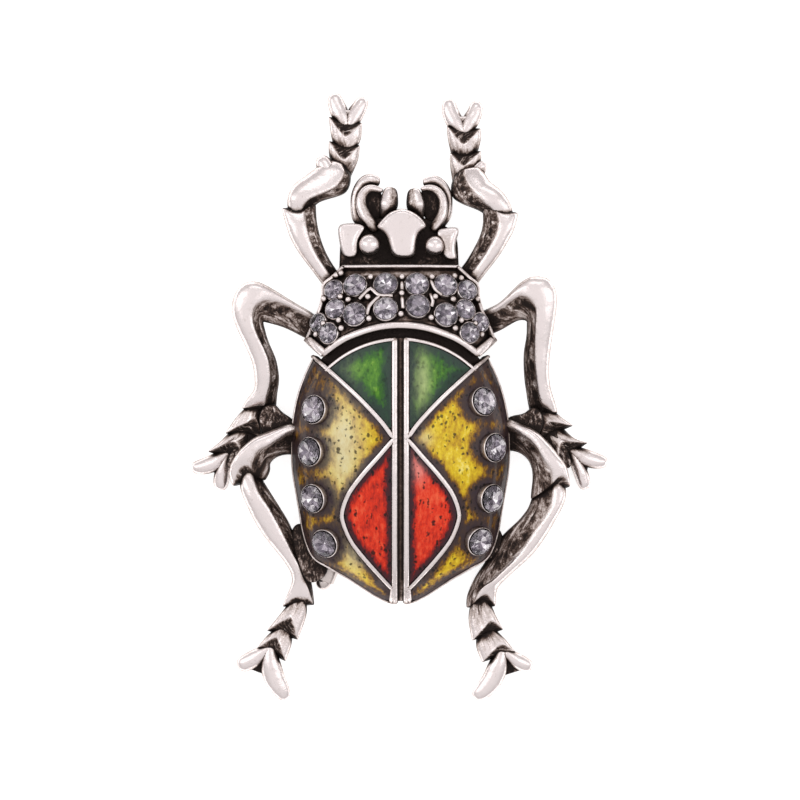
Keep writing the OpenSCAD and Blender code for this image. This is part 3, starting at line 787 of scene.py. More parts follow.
def make_tile(colour, side, columns, rows, material):
    cell = CELLS[colour]
    side_name = "left" if side < 0 else "right"
    collets = LEFT_COLLETS if side < 0 else RIGHT_COLLETS
    bm = bmesh.new()
    border, thin = (bm.verts.layers.float.new(key) for key in ("border", "thin"))
    bmesh.ops.create_grid(bm, x_segments=columns, y_segments=rows, size=0.5)
    rim_edges = [e for e in bm.edges if e.is_boundary]
    raised = bmesh.ops.extrude_face_region(bm, geom=bm.faces[:], use_keep_orig=True)["geom"]
    top = set(verts_of(raised))
    plans = {v: cell_place(cell, v.co.x + 0.5, v.co.y + 0.5) for v in bm.verts}
    # points along the cell's walls, to look up how near the next one is
    walls = KDTree(len(rim_edges) * 4)
    for i, edge in enumerate(rim_edges):
        (ax, ay), (bx, by) = (plans[v] for v in edge.verts)
        for k in range(4):
            walls.insert((ax + (bx - ax) * k / 4, ay + (by - ay) * k / 4, 0), i)
    walls.balance()
    for vert, (x, y) in plans.items():
        near = walls.find((x, y, 0))[2]
        if colour == "yellow":
            for cx, cy in collets:
                near = min(near, 0.75 * max(0.0, math.hypot(side * x - cx, y - cy) - COLLET_R))
            beyond = max(0.0, min(1.0, (x - between(BROWN_LINE, y, 1)) / 0.7))
            near = min(near, 1.0 - BROWN_SHIFT * beyond)
        vert[border] = near
        # painted highlight: where a reflection of the lights falls, the enamel is tinted pale
        for fill, where, px, py, wide, high, most in PAINTED_HIGHLIGHTS:
            if (fill, where) == (colour, side):
                vert[thin] += most * math.exp(-((x - px) / wide) ** 2 - ((y - py) / high) ** 2)
        sag = SAG * (1 - math.exp(-near / 0.5))
        lift = -ENAMEL_DROP - sag if vert in top else GAP - CELL_DEPTH
        place, _ = on_dome(WING_ROWS, x, y, lift)
        vert.co = (side * place.x, place.y, place.z)
    name = f"enamel_{colour}_{side_name}"
    finish_piece(name + "_tile", bm, [material], [name], sharp=50)


for side in (-1, 1):
    make_tile("green", side, 30, 30, green_enamel)
    make_tile("yellow", side, 26, 84, yellow_enamel)
    make_tile("red", side, 22, 50, red_enamel)

# %% [markdown]
# ## Stones and their settings
# A stone is cut from rings of points: the corners of the table, the kites and the girdle make the
# crown, and three more rings below make the pointed back. The smallest convex skin round them is
# the faceted stone, and every facet of the back gets its own tone of the foil, a painted reflection
# that stands for the part of the room the facet would mirror. In the collets the stone sits in a
# plain tube, whose rim is burnished over it.

# %% One cut stone
# radius and height in radii, number of points, and turn, of each ring from the table to the tip
CUT = [
    (0.62, 0.2, 8, 0.0), (0.83, 0.124, 8, math.pi / 8), (1.0, 0.0, 16, 0.0),
    (0.98, -0.06, 10, 0.0), (0.5, -0.2232, 10, math.pi / 10), (0.01, -0.36, 10, 0.0),
]
FOIL_Z = -0.03  # in radii; the facets whose middle lies below it carry the foil
chance = random.Random(7)


def cut_stone(bm, radius, matrix):
    """A faceted stone with its girdle at z 0, moved to its seat by the matrix."""
    tone = bm.faces.layers.float.get("tone") or bm.faces.layers.float.new("tone")
    points = []
    for share, height, count, turn in CUT:
        ring = bmesh.ops.create_circle(bm, segments=count, radius=radius * share)["verts"]
        bmesh.ops.rotate(bm, verts=ring, cent=(0, 0, 0), matrix=Matrix.Rotation(turn, 3, "Z"))
        bmesh.ops.translate(bm, verts=ring, vec=(0, 0, height * radius))
        points += ring
    # only the points stay, and the skin is drawn anew
    edges = {e for v in points for e in v.link_edges}
    bmesh.ops.delete(bm, geom=list(edges), context="EDGES_FACES")
    skin = bmesh.ops.convex_hull(bm, input=points)["geom"]
    for face in [g for g in skin if isinstance(g, bmesh.types.BMFace)]:
        below = face.calc_center_median().z < FOIL_Z * radius
        face.material_index = 1 if below else 0
        # painted reflection: a random foil tone for each facet
        face[tone] = chance.random()
    bmesh.ops.transform(bm, matrix=matrix, verts=points)


def seat(rows, x, y, lift, turn=0.0, upright=0.0):
    """Matrix that stands a shape on a dome at x, y; upright from 0 to 1 turns it to vertical."""
    place, normal = on_dome(rows, x, y)
    axis = normal.lerp(Vector((0, 0, 1)), upright).normalized()
    spin = axis.to_track_quat("Z", "Y").to_matrix().to_4x4()
    return Matrix.Translation(place + axis * lift) @ spin @ Matrix.Rotation(turn, 4, "Z")


def turned_rings(section, sides, matrix):
    """Rings of a turned shape from its radii and heights, put in place by the matrix."""
    angles = [2 * math.pi * i / sides for i in range(sides)]
    return [
        [matrix @ Vector((r * math.cos(a), r * math.sin(a), z)) for a in angles]
        for r, z in section
    ]


# %% Collets and the stones in them
STONE_R = 1.34
# radius and height of a collet's cross-section, from the foot over the rim down the bore
COLLET = [
    (1.5, -0.9), (1.5, 0.36), (1.48, 0.44), (1.44, 0.47), (1.4, 0.44), (1.37, 0.34),
    (1.36, 0.0), (1.36, -0.4),
]


def make_collets():
    bm = bmesh.new()
    for x, y in LEFT_COLLETS + RIGHT_COLLETS:
        loft(bm, turned_rings(COLLET, 32, seat(WING_ROWS, x, y, 0.0)))
    finish_silver("collets", bm, sharp=70)


make_collets()
for side_name, places in (("left", LEFT_COLLETS), ("right", RIGHT_COLLETS)):
    for number, (x, y) in enumerate(places, 1):
        bm = bmesh.new()
        cut_stone(bm, STONE_R, seat(WING_ROWS, x, y, 0.6, turn=number * 0.7))
        node = f"stone_{side_name}_{number}"
        finish_piece(node + "_cut", bm, [smoky_glass, foil], [node], sharp=4)

# %% [markdown]
# ## The paved shield
# Sixteen stones lie in two rows on the shield, each in a low ring, and small silver grains are
# raised between them with a graver. Here and there a thin ridge of metal is left standing. The bed
# around the stones is rough and black. A broad bevelled rim borders the shield on the side of the
# wing cases.

# %% Rim of the shield
# x, y along the ridges that the graver left between the stones
GRAVER_RIDGES = [
    [(-4.15, 9.87), (-3.55, 10.5), (-3.0, 10.93), (-2.5, 10.5), (-2.0, 10.24), (-0.8, 10.2)],
    [(-2.1, 10.15), (-2.75, 9.6), (-3.2, 9.0), (-3.35, 8.3)], [(0.15, 11.6), (0.15, 10.8)],
    [(3.05, 11.8), (3.4, 11.0), (3.75, 10.6), (4.15, 10.3)],
    [(3.0, 10.4), (3.25, 9.7), (3.1, 9.1)],
    [(0.15, 10.1), (0.2, 9.5), (0.25, 8.9)],
]


def make_shield_rim():
    bm = bmesh.new()
    rear = [(x, arc_front(12.14, x)) for x in (-7.95, -6.5, -5, -2.5, 0, 2.5, 5, 6.5, 7.95)]
    ridge(bm, SHIELD_ROWS, rear, 0.66)
    front = [(-5.9, 13.22), (-3, 13.25), (0, 13.25), (3, 13.25), (5.9, 13.22)]
    ridge(bm, SHIELD_ROWS, front, 0.34)
    for side in (-1, 1):
        edge = [(x - 0.2, y) for y, x in SHIELD_EDGE[:5]] + [(6.95, 12.1), (5.85, 13.15)]
        ridge(bm, SHIELD_ROWS, mirrored(edge, side), 0.42, lift=0.05)
        corner = [(9.6, 5.95), (8.85, 5.3), (7.8, 4.42)]
        ridge(bm, SHIELD_ROWS, mirrored(corner, side), 0.98, lift=0.03)
    for path in GRAVER_RIDGES:
        ridge(bm, SHIELD_ROWS, path, 0.4, lift=0.1)
    finish_silver("shield_rim", bm)


make_shield_rim()

# %% Stones, rings and grains of the shield
# x, y of each stone's middle, and its radius
PAVE_STONES = [
    (-6.75, 10.85, 0.98), (-4.6, 11.3, 1.14), (-1.5, 11.4, 1.16), (-6.6, 8.9, 1.0),
    (-4.65, 8.35, 1.14), (-1.5, 8.9, 1.16), (-8.35, 7.5, 0.92), (-7.3, 6.45, 1.0),
    (1.65, 11.4, 1.16), (4.55, 11.3, 1.14), (6.75, 10.8, 1.0), (1.75, 9.2, 1.16),
    (4.6, 8.3, 1.14), (6.55, 8.85, 1.0), (8.1, 7.55, 0.92), (7.0, 6.5, 1.0),
]
# x, y of the grains that hold the stones
GRAINS = [
    (-6.5, 12.3), (-6.0, 12.5), (-3.0, 12.1), (-6.05, 10.1), (-5.25, 9.8), (-3.27, 10.08),
    (-6.2, 7.75), (-7.75, 7.4), (-5.95, 6.95), (-3.16, 7.9), (-7.7, 9.9), (0.15, 12.1),
    (0.12, 10.44), (0.04, 8.35), (3.16, 12.1), (5.45, 12.2), (6.1, 12.0), (5.3, 9.85),
    (3.49, 10.1), (3.07, 8.0), (6.1, 7.75), (5.5, 6.95), (7.5, 7.4), (8.15, 6.35), (-8.5, 6.35),
    (7.75, 9.9),
]


# cross-section of the ring round a stone: beyond its radius, and height
RING = [(0.2, -0.5), (0.14, -0.02), (0.05, 0.06), (-0.03, 0.0), (-0.04, -0.4)]
RING_SIDES = 24
BRIGHT = -0.45  # roughness below 0: the graver's last cut leaves the rings bright
GRAIN_R = 0.33
UPRIGHT = 0.15  # the stones lean a little less than the dome below them


def make_pave():
    stones, bed = bmesh.new(), bmesh.new()
    for number, (x, y, r) in enumerate(PAVE_STONES):
        cut_stone(stones, r, seat(SHIELD_ROWS, x, y, 0.1, turn=number * 0.9, upright=UPRIGHT))
        place = seat(SHIELD_ROWS, x, y, 0.0, upright=UPRIGHT)
        rings = turned_rings([(r + beyond, z) for beyond, z in RING], RING_SIDES, place)
        loft(bed, rings, [[BRIGHT] * RING_SIDES] * len(RING))
    for x, y in GRAINS:
        grain = bmesh.ops.create_icosphere(bed, subdivisions=2, radius=GRAIN_R)["verts"]
        bmesh.ops.transform(bed, matrix=seat(SHIELD_ROWS, x, y, 0.02), verts=grain)
    finish_silver("pave_settings", bed, "pave", sharp=70)
    finish_piece("pave_stones", stones, [smoky_glass, foil], ["pave"], sharp=4)


make_pave()

# %% [markdown]
# ## Legs
# A leg is drawn by its two outlines in plan. Between them the cross-section has a broad polished
# band on the outer side, a crest, and a rough flank that falls away towards the body. The knees
# are open joints: the thigh ends in a notch and the shin starts inside it. The tubes are coarse, and
# two rounds of subdivision make them smooth.

# %% Outlines of the legs
# outer x, y, inner x, y, share of the width that is the polished band, height of the crest
LEGS = {
    "front_left": [
        [(-7.2, 10.4, -5.2, 10.9, 0.6, 4.6), (-8.3, 11.9, -6.0, 12.2, 0.6, 5.1),
         (-9.2, 13.1, -6.8, 13.3, 0.6, 5.3), (-10.2, 14.4, -7.5, 14.5, 0.6, 5.5),
         (-11.1, 15.9, -8.1, 16.0, 0.62, 5.6), (-11.6, 17.3, -8.5, 17.8, 0.62, 5.6),
         (-12.1, 19.2, -8.6, 19.7, 0.62, 5.3)],
        [(-11.2, 18.2, -9.6, 17.9, 0.6, 4.6), (-11.5, 19.4, -9.0, 18.8, 0.62, 5.0),
         (-11.4, 20.5, -8.4, 19.7, 0.66, 5.2), (-10.8, 21.6, -6.9, 20.2, 0.7, 5.0),
         (-9.6, 22.5, -5.6, 20.7, 0.7, 4.6), (-8.7, 23.2, -5.1, 21.7, 0.74, 4.2),
         (-7.9, 23.8, -5.1, 22.8, 0.78, 3.8), (-7.2, 24.0, -5.6, 23.4, 0.8, 3.4)],
    ],
    "front_right": [
        [(6.9, 10.0, 4.7, 10.8, 0.5, 4.6), (8.0, 11.7, 5.5, 12.3, 0.5, 5.1),
         (9.1, 13.1, 6.5, 13.5, 0.5, 5.3), (10.1, 14.4, 7.3, 14.8, 0.5, 5.5),
         (11.0, 15.9, 8.1, 16.4, 0.5, 5.6), (11.6, 17.1, 8.4, 17.8, 0.5, 5.6),
         (12.0, 18.7, 8.3, 19.6, 0.55, 5.3)],
        [(11.3, 17.6, 9.2, 17.8, 0.6, 4.6), (11.4, 18.9, 8.2, 18.8, 0.6, 5.0),
         (10.9, 20.1, 6.7, 19.4, 0.56, 5.2), (10.0, 21.2, 5.4, 20.1, 0.5, 5.0),
         (9.0, 21.9, 5.1, 21.0, 0.52, 4.6), (8.6, 22.7, 5.2, 22.0, 0.6, 4.2),
         (8.2, 23.3, 5.9, 22.9, 0.75, 3.7)],
    ],
    "mid_left": [
        [(-7.6, 7.5, -8.2, 5.4, 0.15, 4.9), (-9.0, 8.6, -9.7, 6.0, 0.2, 5.1),
         (-10.4, 9.4, -11.0, 6.7, 0.22, 5.4), (-11.7, 10.2, -12.2, 7.2, 0.25, 5.6),
         (-13.3, 11.2, -13.3, 7.5, 0.35, 5.8), (-14.8, 11.8, -13.7, 7.6, 0.5, 6.0),
         (-16.3, 11.3, -13.9, 7.6, 0.6, 6.0), (-17.1, 9.6, -13.8, 7.1, 0.62, 5.9),
         (-17.0, 8.0, -13.6, 6.3, 0.65, 5.8), (-16.3, 6.3, -13.3, 5.4, 0.68, 5.6),
         (-15.5, 4.6, -12.8, 4.3, 0.7, 5.3), (-15.0, 3.3, -12.5, 3.3, 0.67, 5.1),
         (-14.8, 1.7, -12.3, 1.8, 0.66, 4.8), (-14.9, 0.7, -12.5, 0.5, 0.62, 4.5),
         (-15.6, -0.2, -12.6, -0.5, 0.64, 4.2), (-16.2, -1.2, -12.7, -1.7, 0.66, 3.8)],
    ],
    "mid_right": [
        [(6.9, 7.8, 7.2, 5.6, 0.15, 4.9), (8.2, 8.7, 8.5, 6.1, 0.2, 5.1),
         (9.8, 9.4, 10.0, 6.7, 0.2, 5.4), (11.0, 10.5, 11.2, 7.4, 0.25, 5.6),
         (12.1, 11.6, 12.0, 7.8, 0.35, 5.8), (13.4, 12.3, 12.6, 7.8, 0.5, 6.0),
         (14.8, 12.2, 12.8, 7.7, 0.6, 6.0), (15.7, 11.0, 12.8, 7.2, 0.66, 5.9),
         (15.9, 9.6, 12.8, 6.5, 0.7, 5.8), (15.6, 7.3, 12.7, 5.7, 0.66, 5.6),
         (15.3, 5.3, 12.5, 4.5, 0.6, 5.3), (15.1, 3.6, 12.5, 3.0, 0.55, 5.1),
         (15.1, 2.0, 12.6, 1.6, 0.52, 4.8), (15.3, 0.7, 12.8, 0.3, 0.52, 4.5),
         (15.7, -0.5, 13.0, -0.9, 0.52, 4.2), (16.0, -1.7, 13.3, -2.1, 0.5, 3.8)],
    ],
    "hind_left": [
        [(-9.0, -2.9, -9.0, -5.8, 0.25, 4.8), (-10.3, -2.7, -10.3, -5.9, 0.25, 4.9),
         (-11.5, -2.7, -11.5, -5.8, 0.35, 5.2), (-13.2, -3.4, -12.6, -6.1, 0.45, 5.5),
         (-14.7, -4.0, -13.2, -6.7, 0.5, 5.7), (-16.1, -5.2, -13.2, -7.2, 0.55, 5.8),
         (-17.1, -6.6, -13.3, -7.7, 0.6, 5.8), (-17.5, -7.9, -13.5, -8.1, 0.62, 5.7),
         (-17.0, -9.2, -13.7, -8.5, 0.65, 5.4)],
        [(-15.7, -6.6, -14.6, -7.2, 0.6, 4.4), (-16.3, -8.0, -14.1, -8.2, 0.65, 5.0),
         (-16.2, -9.5, -13.3, -9.5, 0.6, 5.3), (-15.5, -11.2, -12.3, -11.1, 0.65, 5.2),
         (-14.6, -13.0, -11.4, -12.6, 0.65, 4.9), (-13.5, -14.6, -10.6, -14.4, 0.65, 4.6),
         (-12.2, -16.2, -10.0, -16.1, 0.65, 4.2), (-11.3, -17.5, -9.5, -17.4, 0.65, 3.9),
         (-11.0, -18.6, -9.1, -18.6, 0.65, 3.6), (-11.4, -19.8, -8.9, -19.8, 0.8, 3.4),
         (-12.1, -21.4, -8.75, -21.2, 0.95, 3.1)],
    ],
    "hind_right": [
        [(9.4, -2.4, 9.4, -5.3, 0.3, 4.8), (11.0, -2.2, 10.8, -5.4, 0.3, 4.9),
         (12.2, -2.7, 12.0, -5.6, 0.35, 5.2), (13.6, -3.3, 12.9, -6.3, 0.4, 5.5),
         (14.8, -4.4, 13.3, -7.2, 0.45, 5.7), (15.8, -5.6, 13.4, -8.2, 0.42, 5.8),
         (16.8, -7.0, 13.3, -9.2, 0.4, 5.8), (17.3, -9.2, 13.2, -10.4, 0.4, 5.6)],
        [(16.0, -7.8, 14.2, -8.6, 0.4, 4.6), (16.8, -9.2, 13.4, -10.0, 0.4, 5.2),
         (16.7, -10.6, 13.0, -11.2, 0.36, 5.3), (16.0, -12.0, 12.0, -12.5, 0.33, 5.2),
         (14.8, -14.1, 10.5, -13.9, 0.33, 4.8), (13.5, -15.9, 9.4, -15.4, 0.33, 4.4),
         (12.0, -17.3, 8.5, -16.9, 0.33, 4.1), (10.8, -18.4, 7.7, -18.1, 0.36, 3.7),
         (9.9, -19.4, 7.1, -19.3, 0.4, 3.4), (9.7, -20.5, 6.7, -20.5, 0.6, 3.1),
         (9.7, -21.4, 6.7, -21.5, 0.7, 2.9)],
    ],
}
# x, y of the V-notch at the end of each shaft, where there is one
NOTCHES = {
    "front_left": [(-10.5, 18.2), None], "front_right": [(10.6, 18.3), None],
    "mid_left": [(-14.2, -0.7)], "mid_right": [(14.5, -1.0)],
    "hind_left": [(-16.2, -6.1), (-10.1, -19.4)], "hind_right": [(16.5, -7.6), (8.8, -19.6)],
}
# how rough and black the flanks are on single legs, and on the others
FLANKS = {"hind_right": 0.78, "front_left": 0.8, "mid_left": 0.82, "hind_left": 0.84}
FLANK = 0.92
# x, y, height, half width and half height of the spurs on the front shins, from root to tip
SPURS = {
    "front_left": [(-7.3, 22.6, 3.2, 1.1, 0.9), (-7.85, 23.8, 3.0, 0.85, 0.75)],
    "front_right": [(7.5, 22.3, 2.7, 0.95, 0.7), (8.2, 23.4, 2.8, 0.64, 0.55)],
}

# %% A shaft between two outlines
LEG_DEPTH = 2.2  # from the crest down to the underside
SWELL = 1.05  # makes up for what the subdivision surface takes off
NOTCH_REACH = 1.6  # in depths of the notch, how far before it the sections begin to bend
CHEVRON_REACH = 1.3  # how much longer the tips are drawn where every section bends
LAST_RING, PAST_END = 0.82, 0.2  # size of the ring that rounds the end, and how far it lies beyond
ROUGHEST = 1.2


def leg_section(share):
    """Share of the width, height in depths below the crest, and roughness of a leg's points."""
    rest = 1 - share
    return [
        (0.1, -0.95, 0.0), (0.0, -0.5, 0.0), (0.06, -0.16, 0.0), (share * 0.4, 0.0, 0.0),
        (share * 0.85, -0.02, 0.0), (share, -0.07, 0.15), (share + 0.1 * rest, -0.15, 0.85),
        (share + 0.45 * rest, -0.27, 1.0), (share + 0.75 * rest, -0.34, 0.7), (0.97, -0.45, 0.6),
        (1.0, -0.7, 0.5), (0.9, -1.0, 1.0), (0.5, -1.0, 1.0),
    ]


def shaft(bm, rows, section, depth, notch=None, spacing=1.0, chevron=0.0):
    """A tube between two edges drawn in plan; a notch leaves two prongs and a black hollow.

    A row holds x, y on one side, x, y on the other, a share for the section, height and roughness.
    With chevron above 0, all cross-sections bend back towards the notch at least that much, and
    the tips reach out a little, to make up for what the subdivision surface takes off."""
    path = smooth_path(rows, spacing)
    middles = [Vector(((r[0] + r[2]) / 2, (r[1] + r[3]) / 2, 0)) for r in path]
    pull, apex = Vector((0, 0, 0)), 0.5
    if notch:
        left, right = (Vector((path[-1][k], path[-1][k + 1], 0)) for k in (0, 2))
        line = right - left
        apex = max(0.15, min(0.85, (Vector((*notch, 0)) - left).dot(line) / line.length_squared))
        pull = Vector((*notch, 0)) - left.lerp(right, apex)
        pull *= CHEVRON_REACH if chevron else 1.0
    rings, marks = [], []
    for i, (lx, ly, rx, ry, share, top, rough) in enumerate(path):
        ahead = sum((b - a).length for a, b in zip(middles[i:], middles[i + 1 :]))
        pulled = max(chevron, 1 - ahead / (NOTCH_REACH * pull.length)) if notch else 0.0
        ring, shades = [], []
        for u, h, mark in section(share):
            point = Vector((lx, ly, 0)).lerp(Vector((rx, ry, 0)), 0.5 + (u - 0.5) * SWELL)
            point += pull * pulled * min(u / apex, (1 - u) / (1 - apex)) * (1 + h)
            ring.append(Vector((point.x, point.y, top + h * depth)))
            shades.append(min(ROUGHEST, mark * rough))
        rings.append(ring)
        marks.append(shades)
    # one more, smaller ring rounds the end, or lines the notch with black
    centre = sum(rings[-1], Vector((0, 0, 0))) / len(rings[-1])
    onward = (middles[-1] - middles[-2]).normalized() * (0.0 if notch else PAST_END)
    rings.append([centre.lerp(point, LAST_RING) + onward for point in rings[-1]])
    marks.append([1.0] * len(rings[-1]) if notch else marks[-1])
    loft(bm, rings, marks)


# %% A rounded rod
ROD_SIDES = 10


def rod(bm, rows, spacing=0.45, marks=None):
    """A rounded rod through rows of x, y, height, half width and half height."""
    points = smooth_path(rows, spacing)
    last = len(points) - 1
    tangents = []
    for i in range(len(points)):
        step = points[min(i + 1, last)] - points[max(i - 1, 0)]
        tangents.append(Vector((step[0], step[1], step[2])).normalized())
    # rings along the rod, with shrinking ones beyond both ends to round them
    stations = [(0, -0.85, 0.45), (0, -0.5, 0.84), (0, 0.0, 1.0)]
    stations += [(i, 0.0, 1.0) for i in range(1, last)]
    stations += [(last, 0.0, 1.0), (last, 0.5, 0.84), (last, 0.85, 0.45)]
    rings = []
    for i, push, size in stations:
        x, y, z, half_w, half_h = points[i]
        along = tangents[i]
        side = along.cross(Vector((0, 0, 1))).normalized()
        middle = Vector((x, y, z)) + along * push * half_w
        angles = [2 * math.pi * k / ROD_SIDES for k in range(ROD_SIDES)]
        rings.append([
            middle + side * half_w * size * math.cos(a)
            + Vector((0, 0, half_h * size * math.sin(a))) for a in angles
        ])
    loft(bm, rings, [marks or [0.0] * ROD_SIDES] * len(rings))


# %% The legs


def make_leg(name):
    bm = bmesh.new()
    for rows, notch in zip(LEGS[name], NOTCHES[name]):
        rows = [(*row, FLANKS.get(name, FLANK)) for row in rows]
        shaft(bm, rows, leg_section, LEG_DEPTH, notch)
    if name in SPURS:
        rod(bm, SPURS[name])
    finish_silver("leg_" + name, bm, sharp=60, levels=2)


for leg_name in LEGS:
    make_leg(leg_name)

# %% [markdown]
# ## Feet
# Each foot is a short chain of forked joints that overlap like roof tiles and ends in two claws.
# On the real brooch they are modelled in the wax as plump lobes with deep, black gaps. A joint is a
# short shaft like those of the legs, with two humps and a notch, and a claw is a rounded rod. A
# small palm fills the corner between the claws.

# %% Outlines of the joints and claws
# for each joint left x, y, right x, y at the root, middle and tip, its notch, and its height
JOINTS = {
    "front_left": [
        ((-7.1, 23.6, -4.9, 22.7), (-7.3, 24.9, -4.3, 24.1), (-7.3, 25.9, -4.1, 25.4),
         (-5.8, 24.2), 3.0),
        ((-6.8, 25.4, -4.6, 25.1), (-7.1, 26.8, -4.0, 26.3), (-7.3, 28.3, -3.9, 27.7),
         (-5.5, 26.5), 2.4),
    ],
    "front_right": [
        ((5.2, 22.3, 7.9, 22.9), (5.0, 23.7, 8.2, 24.0), (5.0, 24.7, 8.2, 24.9),
         (6.3, 23.5), 3.0),
        ((5.1, 24.9, 7.9, 25.0), (4.8, 26.2, 8.2, 26.2), (4.7, 27.4, 8.2, 27.2),
         (6.4, 25.8), 2.4),
    ],
    "mid_left": [
        ((-15.9, -1.2, -14.1, -1.4), (-16.8, -2.2, -14.1, -2.7), (-17.7, -3.5, -14.1, -4.1),
         (-14.7, -2.4), 3.2),
        ((-16.9, -2.9, -15.0, -4.0), (-18.1, -4.3, -15.3, -5.3), (-19.4, -5.4, -15.9, -6.6),
         (-16.7, -4.6), 2.5),
    ],
    "mid_right": [
        ((13.5, -1.2, 15.4, -1.2), (13.6, -2.7, 16.3, -2.0), (14.0, -4.2, 17.4, -2.8),
         (14.9, -2.6), 3.2),
        ((14.7, -4.0, 16.4, -3.0), (15.1, -5.5, 17.7, -4.2), (15.8, -6.7, 18.9, -4.6),
         (16.4, -4.7), 2.5),
    ],
    "hind_left": [
        ((-11.4, -20.9, -9.5, -21.0), (-12.1, -21.9, -9.6, -22.4), (-13.4, -23.5, -10.3, -24.4),
         (-11.2, -22.5), 2.7),
        ((-12.8, -23.6, -11.0, -24.3), (-13.7, -24.4, -11.1, -25.3), (-14.5, -25.4, -11.6, -26.7),
         (-12.7, -24.5), 2.2),
    ],
    "hind_right": [
        ((7.1, -20.9, 9.2, -21.0), (6.9, -22.7, 9.8, -22.4), (7.2, -24.5, 10.4, -23.5),
         (9.4, -22.7), 2.7),
        ((7.7, -24.2, 9.8, -23.8), (7.7, -25.5, 10.8, -24.8), (8.2, -26.8, 11.6, -25.8),
         (10.3, -25.1), 2.2),
    ],
}
# x, y, height, half width and half height of each claw from its root to its tip
CLAWS = {
    "front_left": [
        [(-5.7, 27.7, 1.1, 0.8, 0.75), (-6.2, 28.9, 1.0, 0.98, 0.85),
         (-6.55, 29.8, 0.85, 0.9, 0.78), (-6.65, 30.25, 0.8, 0.82, 0.72)],
        [(-5.1, 27.7, 1.1, 0.8, 0.75), (-4.6, 28.8, 1.0, 0.92, 0.8),
         (-4.1, 29.6, 0.85, 0.8, 0.74), (-3.95, 29.95, 0.8, 0.74, 0.7)],
    ],
    "front_right": [
        [(6.1, 27.1, 1.1, 0.8, 0.75), (5.4, 28.2, 1.0, 0.96, 0.85), (5.0, 29.2, 0.85, 0.88, 0.78),
         (4.95, 29.7, 0.8, 0.8, 0.72)],
        [(6.6, 27.1, 1.1, 0.8, 0.75), (7.2, 28.2, 1.0, 0.92, 0.8), (7.6, 29.0, 0.85, 0.82, 0.74),
         (7.7, 29.5, 0.8, 0.76, 0.7)],
    ],
    "mid_left": [
        [(-17.4, -5.6, 1.1, 0.7, 0.7), (-18.8, -6.6, 1.0, 0.95, 0.82),
         (-20.0, -7.05, 0.85, 0.9, 0.78), (-20.65, -7.15, 0.78, 0.76, 0.7)],
        [(-17.7, -5.9, 1.1, 0.6, 0.7), (-18.1, -7.6, 0.9, 0.85, 0.8),
         (-18.3, -8.8, 0.75, 0.85, 0.72)],
    ],
    "mid_right": [
        [(17.2, -5.4, 1.1, 0.7, 0.7), (18.6, -6.1, 1.0, 0.95, 0.82), (19.9, -6.5, 0.85, 0.88, 0.78),
         (20.45, -6.6, 0.78, 0.74, 0.68)],
        [(17.5, -5.9, 1.1, 0.6, 0.7), (18.3, -7.6, 0.9, 0.78, 0.8), (18.7, -8.8, 0.75, 0.74, 0.7)],
    ],
    "hind_left": [
        [(-13.5, -25.6, 1.1, 0.6, 0.7), (-14.9, -26.6, 0.9, 0.95, 0.8),
         (-15.9, -27.15, 0.75, 0.9, 0.7)],
        [(-13.3, -25.6, 1.1, 0.7, 0.7), (-13.2, -27.2, 1.0, 1.1, 0.9),
         (-12.8, -28.7, 0.9, 1.15, 0.84), (-12.15, -29.8, 0.78, 0.95, 0.72),
         (-11.9, -30.2, 0.72, 0.8, 0.66)],
    ],
    "hind_right": [
        [(10.9, -26.1, 1.1, 0.6, 0.7), (12.0, -26.9, 0.9, 0.85, 0.76),
         (12.8, -27.3, 0.75, 0.78, 0.66)],
        [(10.3, -25.9, 1.1, 0.7, 0.7), (9.9, -27.4, 1.0, 1.08, 0.9), (9.3, -28.8, 0.9, 1.12, 0.84),
         (8.4, -29.9, 0.78, 0.95, 0.72), (8.0, -30.2, 0.72, 0.8, 0.66)],
    ],
}
# painted shade: -1 where the left humps of the joints lie in shadow and are painted black, 1 where
# the right ones do
DARK_HUMPS = {"mid_left": 1, "mid_right": -1}
# how far the palm reaches along the claws, how high it is, and how black
PALMS = {"front": (1.15, 1.6, 0.0), "mid": (1.4, 0.8, 1.1), "hind": (1.7, 0.8, 1.1)}

# %% The feet
JOINT_DEPTH = 1.5
PALM_DEPTH = 0.7
SHORT_STEP = 0.45  # spacing of the rings, in mm
PAINTED_SHADE_MARK = 6.0  # painted shade: the black mark of a hump that lies in shadow


def lobes(dark):
    """Share of the width, height in depths, and roughness: two humps with a dip between them; with
    dark, the hump on that side is painted black as shade.
    """
    section = [
        (0.1, -0.95, 1.0), (0.0, -0.55, 0.4), (0.07, -0.15, 0.35), (0.24, 0.0, 0.6),
        (0.42, -0.06, 1.0), (0.5, -0.12, 1.0), (0.58, -0.06, 1.0), (0.76, 0.0, 0.6),
        (0.93, -0.15, 0.35), (1.0, -0.55, 0.4), (0.9, -0.95, 1.0), (0.5, -1.0, 1.0),
    ]
    # painted shade: the hump on the shaded side is painted black, and the rest of the section is
    # kept lighter
    if dark:
        section = [(u, h, min(mark, 0.5)) for u, h, mark in section]
    return [(u, h, PAINTED_SHADE_MARK if (u - 0.5) * dark > 0.2 else mark) for u, h, mark in section]


